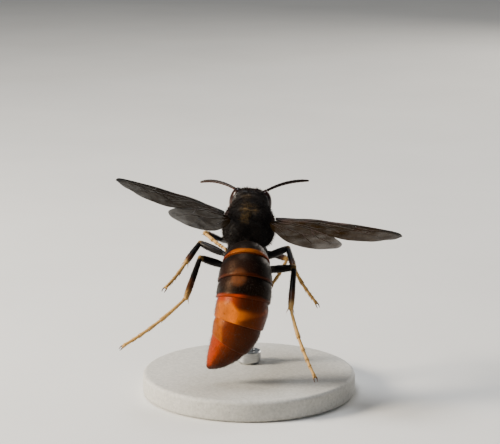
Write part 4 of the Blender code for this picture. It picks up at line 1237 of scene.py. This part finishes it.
def growCoat(name, slot, style, roots, normals, lies, maps, tips, scale=1.0):
    # Copies the lock to every root: leaning along its lie, bent a little, each one different.
    count = len(roots)
    lengths = draw.uniform(*style["length"], count)
    isLong = draw.random(count) < style["longShare"]
    lengths = np.where(isLong, draw.uniform(*style["long"], count), lengths) * scale
    lean = style["lean"] * draw.uniform(*coats["leanVaries"], (count, 1))
    lean = lean * np.where(isLong, coats["longLean"], 1.0)[:, None]
    flat = lies - normals * (lies * normals).sum(axis=1, keepdims=True)
    flat = unit(flat + draw.normal(0, coats["strayAlong"], (count, 3)))
    ways = unit(normals + flat * lean + draw.normal(0, coats["strayOff"], (count, 3)))
    across = unit(np.cross(ways, unit(draw.normal(0, 1, (count, 3)))))
    up = np.cross(ways, across)
    thick = style["thick"] * draw.uniform(*coats["thickVaries"], (count, 1))
    x, y, z = (tuftCorners[None, :, axis:axis + 1] for axis in range(3))
    lengths = lengths[:, None, None]
    spots = (roots - normals * coats["sunk"])[:, None]
    spots = spots + (across[:, None] * x + up[:, None] * y) * thick[:, :, None]
    spots = spots + ways[:, None] * z * lengths
    spots = spots + flat[:, None] * (z ** 2 * lengths * coats["bend"])
    each = len(tuftCorners)
    place = np.array(bodyPlace)
    vertices = spots.reshape(-1, 3) @ place[:3, :3].T + place[:3, 3]
    faces = (tuftFaces[None] + (np.arange(count) * each)[:, None, None]).reshape(-1, 3)
    mesh = bpy.data.meshes.new(name)
    mesh.vertices.add(len(vertices))
    mesh.vertices.foreach_set("co", vertices.astype(np.float32).ravel())
    mesh.loops.add(faces.size)
    mesh.loops.foreach_set("vertex_index", faces.astype(np.int32).ravel())
    mesh.polygons.add(len(faces))
    mesh.polygons.foreach_set("loop_start", np.arange(0, faces.size, 3, dtype=np.int32))
    mesh.update(calc_edges=True)
    mesh.validate()
    along = np.clip(z, 0, 1) ** 1.3
    tones = tips[:, None] * style["rootTone"] * (1 - along) + tips[:, None] * along
    tones = tones * draw.uniform(*coats["toneVaries"], (count, 1, 1))
    colours = np.concatenate([tones, np.ones((count, each, 1))], axis=2)
    layer = mesh.color_attributes.new("markingAndLight", "FLOAT_COLOR", "POINT")
    layer.data.foreach_set("color", colours.astype(np.float32).ravel())
    # each tuft keeps to a small patch of the unwrap at its root; its hidden root cap is a point
    spread = tuftCorners[:, :2] * coats["tuftPatch"] * (1 - 0.9 * tuftCorners[:, 2:])
    corners = (maps[:, None] + spread[None])[:, tuftFaces]
    corners[:, np.all(tuftCorners[tuftFaces][:, :, 2] < 0.01, axis=1)] = maps[:, None, None]
    bake = mesh.uv_layers.new(name="OFBake")
    bake.data.foreach_set("uv", corners.astype(np.float32).ravel())
    mesh.shade_smooth()
    mesh.materials.append(hair)
    print(name, len(faces), "triangles")
    rideAlong(bpy.data.objects.new(name, mesh), slot)


def tonesOf(roots, tone):
    return np.array([tone(Vector(root))[:3] for root in roots])


def wrapMap(roots, ahead, along, start, span):
    # An unwrap round the body: the angle seen along one axis, and the place along it.
    angle = np.arctan2(roots[:, 0], ahead) / math.tau
    return np.stack([angle * 0.96 + 0.5, (roots[:, along] - start) / span], axis=1)


def thoraxTip(place):
    # Dark brown tips, with a painted highlight: tan in a T-shaped patch down the rear slope that
    # catches the light.
    colour = blended("hairDark", "hairBrown", 0.35)
    wave = 0.25 * noise.noise(place * 1.6)
    bar = eased(1.5, 0.8, abs(place.x + 0.45) + wave) * eased(2.2, 2.5, place.z + wave)
    stem = eased(0.65, 0.35, abs(place.x + 0.6) + wave) * eased(1.25, 1.65, place.z)
    highlightPatch = max(bar * eased(0.15, -0.3, place.y + wave), stem * eased(-0.9, -1.4, place.y))
    return blended(colour, "hairHighlightTan", 0.8 * highlightPatch + 0.2 * stem)


def thoraxChance(place, normal):
    # None at the wing hinge and the shoulder cap, thin on the coxae.
    side = toRight(place)
    bare = ((side - thorax["wingRoot"]).length < 0.3
            or (side - thorax["bareSpot"]).length < 0.34)
    return 0.0 if bare else 0.35 if place.z < -3.2 else 1.0


style = coats["thorax"]
for part, ahead in (("Front", True), ("Rear", False)):
    roots, normals = rootsOn(thoraxCopy.copy(), style["tufts"],
                             lambda place, normal: thoraxChance(place, normal)
                             * ((place.y > -0.2) == ahead))
    growCoat(f"thoraxCoat{part}", "body_black", style, roots, normals,
             np.tile([0.0, -1.0, -0.15], (len(roots), 1)),
             wrapMap(roots, roots[:, 2] + 0.4, 1, -4.2, 8.6), tonesOf(roots, thoraxTip))


def headTip(place):
    onFace = eased(5.75, 6.0, place.y) * eased(1.3, 1.0, place.z)
    return blended(blended("hairDark", "hairBrown", 0.6), "hairGold", onFace)


def headChance(place, normal):
    # Dense on the crown, cheeks and back of the head, thin on the face shield, none on the eyes.
    side = toRight(place)
    eye = side - head["eyeCentre"]
    if sum((part / half) ** 2 for part, half in zip(eye, head["eyeHalf"])) < 1.25:
        return 0.0
    if min((place - Vector(spot)).length for spot in head["ocelli"]) < 0.24:
        return 0.0
    if (side - head["socketBare"]).length < 0.36:
        return 0.0
    return 0.3 if place.y > 5.9 and place.z < 1.2 else 1.0


style = coats["head"]
roots, normals = rootsOn(headCopy, style["tufts"], headChance)
x, y, z = roots.T
growCoat("headCoat", "body_black", style, roots, normals,
         np.stack([x * 0.2, -0.5 + 0 * x, np.where(z > 1, 0.4, -0.8)], axis=1),
         wrapMap(roots, y - 5.0, 2, -2.4, 5.0), tonesOf(roots, headTip),
         np.where((y > 5.75) & (z < 1.2), 0.5, 1.0))


def tailRoots(count):
    # Roots on the visible part of each plate, by distance along and angle round it.
    rows = []
    while len(rows) < count:
        distance = draw.uniform(*coats["tailStretch"])
        half = readCurve(tail["envelope"], distance)[0]
        angle = draw.uniform(0, 360)
        # as many to each square millimetre at the narrow ends, and more on belly and tail end
        belly = coats["belly"][0] < angle < coats["belly"][1]
        atEnd = distance > coats["tailEnd"]
        if draw.random() > half / 3.4 * (1.0 if belly or atEnd else 0.75):
            continue
        number = sum(distance > row[0] for row in tail["joints"][1:-1])
        last, along = plateSpan(number, distance)[1:]
        if number < 5 and distance > last - 0.05:
            continue
        factor = plateSwell(number, along)
        place = tailPoint(distance, angle, factor)
        ahead = tailPoint(distance + 0.05, angle, factor) - place
        around = tailPoint(distance, angle + 2, factor) - place
        normal = around.cross(ahead).normalized()
        if normal.dot(place - tailMiddle(distance)) < 0:
            normal = -normal
        # the down reddens where the plate beneath is brighter, and so carries its painted light and
        # shade
        light = eased(0.05, 0.35, tailShade(number, distance, angle)[0])
        rows.append((place, normal, ahead.normalized(), (angle / 360, distance / 17.0),
                     blended("hairBrown", "hairRust", light)[:3],
                     (1.35 if atEnd else 1.0) * (1.2 if belly else 1.0)))
    return rows


def limbRoots(count):
    # Roots round the legs' own lines; the unwrap gives each line a strip of its own.
    lengths = np.array([sum((b - a).length for a, b in zip(line[0], line[0][1:]))
                        for line in limbLines])
    rows = []
    frames = [framesAlong(line[0]) for line in limbLines]
    for which in draw.choice(len(limbLines), count, p=lengths / lengths.sum()):
        points, radii, tone, size = limbLines[which]
        spot = draw.uniform(0.02, 0.98) * (len(points) - 1)
        turn = draw.uniform(0, math.tau)
        ahead, across, up = frames[which][int(spot)]
        normal = across * math.cos(turn) + up * math.sin(turn)
        rows.append((pointOn(points, spot) + normal * pointOn(radii, spot) * 0.98, normal, ahead,
                     ((which + 0.1 + 0.8 * turn / math.tau) / len(limbLines),
                      0.02 + 0.96 * spot / (len(points) - 1)), palette[tone][:3], size))
    return rows


for name, slot, key, rootsFor in (("tailDown", "body_black", "tail", tailRoots),
                                  ("legBristles", "leg_black", "legs", limbRoots)):
    rows = rootsFor(coats[key]["tufts"])
    growCoat(name, slot, coats[key], *(np.array(column) for column in zip(*rows)))
print("coat made")


# Stand: base, ferrule and rod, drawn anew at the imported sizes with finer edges.

stand = {"baseRadius": 13.0, "baseHeight": 2.6, "edge": 0.5, "rodRadius": 0.65, "rodTop": 16.24,
         "rodEdge": 0.06, "rodAhead": 3.5, "seat": 0.05, "around": 96,
         # the ferrule's section: a foot and a top with chamfered edges, radius and height
         "ferrule": [(1.5, 1.38), (1.5, 0.25), (1.3, 0), (0.75, 0), (0.75, 1.5), (1.38, 1.5)]}
millimetres = Matrix.Scale(0.001, 4)


def turnedDisc(radius, bottom, top, ahead, edge):
    bm = bmesh.new()
    bmesh.ops.create_cone(bm, cap_ends=True, segments=stand["around"], radius1=radius,
                          radius2=radius, depth=top - bottom)
    bmesh.ops.translate(bm, vec=(0, ahead, (top + bottom) / 2), verts=bm.verts)
    rims = [rim for rim in bm.edges if abs(rim.verts[0].co.z - rim.verts[1].co.z) < 1e-6]
    bmesh.ops.bevel(bm, geom=rims, offset=edge, segments=5, profile=0.5, affect="EDGES",
                    material=-1)
    return bm


def ferruleRing(foot):
    bm = bmesh.new()
    outline = [bm.verts.new((x, 0, z)) for x, z in stand["ferrule"]]
    ring = [bm.edges.new((outline[index - 1], outline[index])) for index in range(len(outline))]
    bmesh.ops.spin(bm, geom=outline + ring, axis=(0, 0, 1), cent=(0, 0, 0), angle=math.tau,
                   steps=stand["around"], use_merge=True)
    bmesh.ops.translate(bm, vec=(0, stand["rodAhead"], foot), verts=bm.verts)
    bmesh.ops.recalc_face_normals(bm, faces=bm.faces)
    return bm


seatHeight = stand["baseHeight"] + stand["seat"]
base = turnedDisc(stand["baseRadius"], 0.0, stand["baseHeight"], 0.0, stand["edge"])
rod = turnedDisc(stand["rodRadius"], seatHeight, stand["rodTop"], stand["rodAhead"],
                 stand["rodEdge"])
ferrule = ferruleRing(seatHeight)
for part, bm, finish, slot, sharp in (("Base", base, castResin, "stand_stone", 50),
                                      ("Rod", rod, steel, "stand_steel", 50),
                                      ("Ferrule", ferrule, steel, "stand_steel", 30)):
    makePiece(f"stand{part}", bm, finish, slot, [f"stand_{part.lower()}"], millimetres, sharp)


# Studio: a pale floor, soft lamps and the camera at the photo's angle.

studio = {
    "elevation": 12.0, "distance": 0.230, "pixelsPerMillimetre": 8.2, "photoWidth": 500,
    "sensor": 36.0, "target": Vector((0.0, 0.0024, 0.0206)), "floorSize": 3.0,
    "worldColour": "DDE3EA", "worldStrength": 0.2,
    # place, size, power, colour
    "lamps": {"keyLamp": ((-0.32, -0.05, 0.15), 0.11, 3.3, "FFF3E0"),
              "topLamp": ((-0.08, 0.02, 0.36), 0.16, 1.1, "F4F8FF"),
              "fillLamp": ((0.3, -0.24, 0.2), 0.3, 0.1, "F2F6FF"),
              "frontLamp": ((0.2, 0.32, 0.14), 0.25, 0.7, "FFF8EE")},
}
ground = bmesh.new()
bmesh.ops.create_grid(ground, x_segments=4, y_segments=4, size=studio["floorSize"] / 2)
floorMesh = bpy.data.meshes.new("studioFloor")
ground.to_mesh(floorMesh)
ground.free()
floorMesh.materials.append(paper)
studioFloor = bpy.data.objects.new("studioFloor", floorMesh)
bpy.context.scene.collection.objects.link(studioFloor)


def aimed(name, data, place, way):
    item = bpy.data.objects.new(name, data)
    item.location = place
    item.rotation_euler = way.to_track_quat("-Z", "Y").to_euler()
    bpy.context.scene.collection.objects.link(item)
    return item


for name, (place, size, power, colour) in studio["lamps"].items():
    lamp = bpy.data.lights.new(name, "AREA")
    lamp.shape = "DISK"
    lamp.size = size
    lamp.energy = power
    lamp.color = hexColour(colour)[:3]
    aimed(name, lamp, place, studio["target"] - Vector(place))
world = bpy.data.worlds.new("softRoom")
world.use_nodes = True
background = world.node_tree.nodes["Background"]
background.inputs["Color"].default_value = hexColour(studio["worldColour"])
background.inputs["Strength"].default_value = studio["worldStrength"]
bpy.context.scene.world = world

lookDown = math.radians(studio["elevation"])
lookWay = Vector((0, math.cos(lookDown), -math.sin(lookDown)))
photoCamera = bpy.data.cameras.new("photoCamera")
photoCamera.sensor_width = studio["sensor"]
photoCamera.lens = (studio["sensor"] * studio["pixelsPerMillimetre"] * studio["distance"] * 1000
                    / studio["photoWidth"])
photoCamera.clip_start = 0.01
photoCamera.shift_x = 1 / studio["photoWidth"]
photoCamera.shift_y = 0.5 / studio["photoWidth"]
bpy.context.scene.camera = aimed("photoCamera", photoCamera,
                                 studio["target"] - lookWay * studio["distance"], lookWay)

print("scene ready")
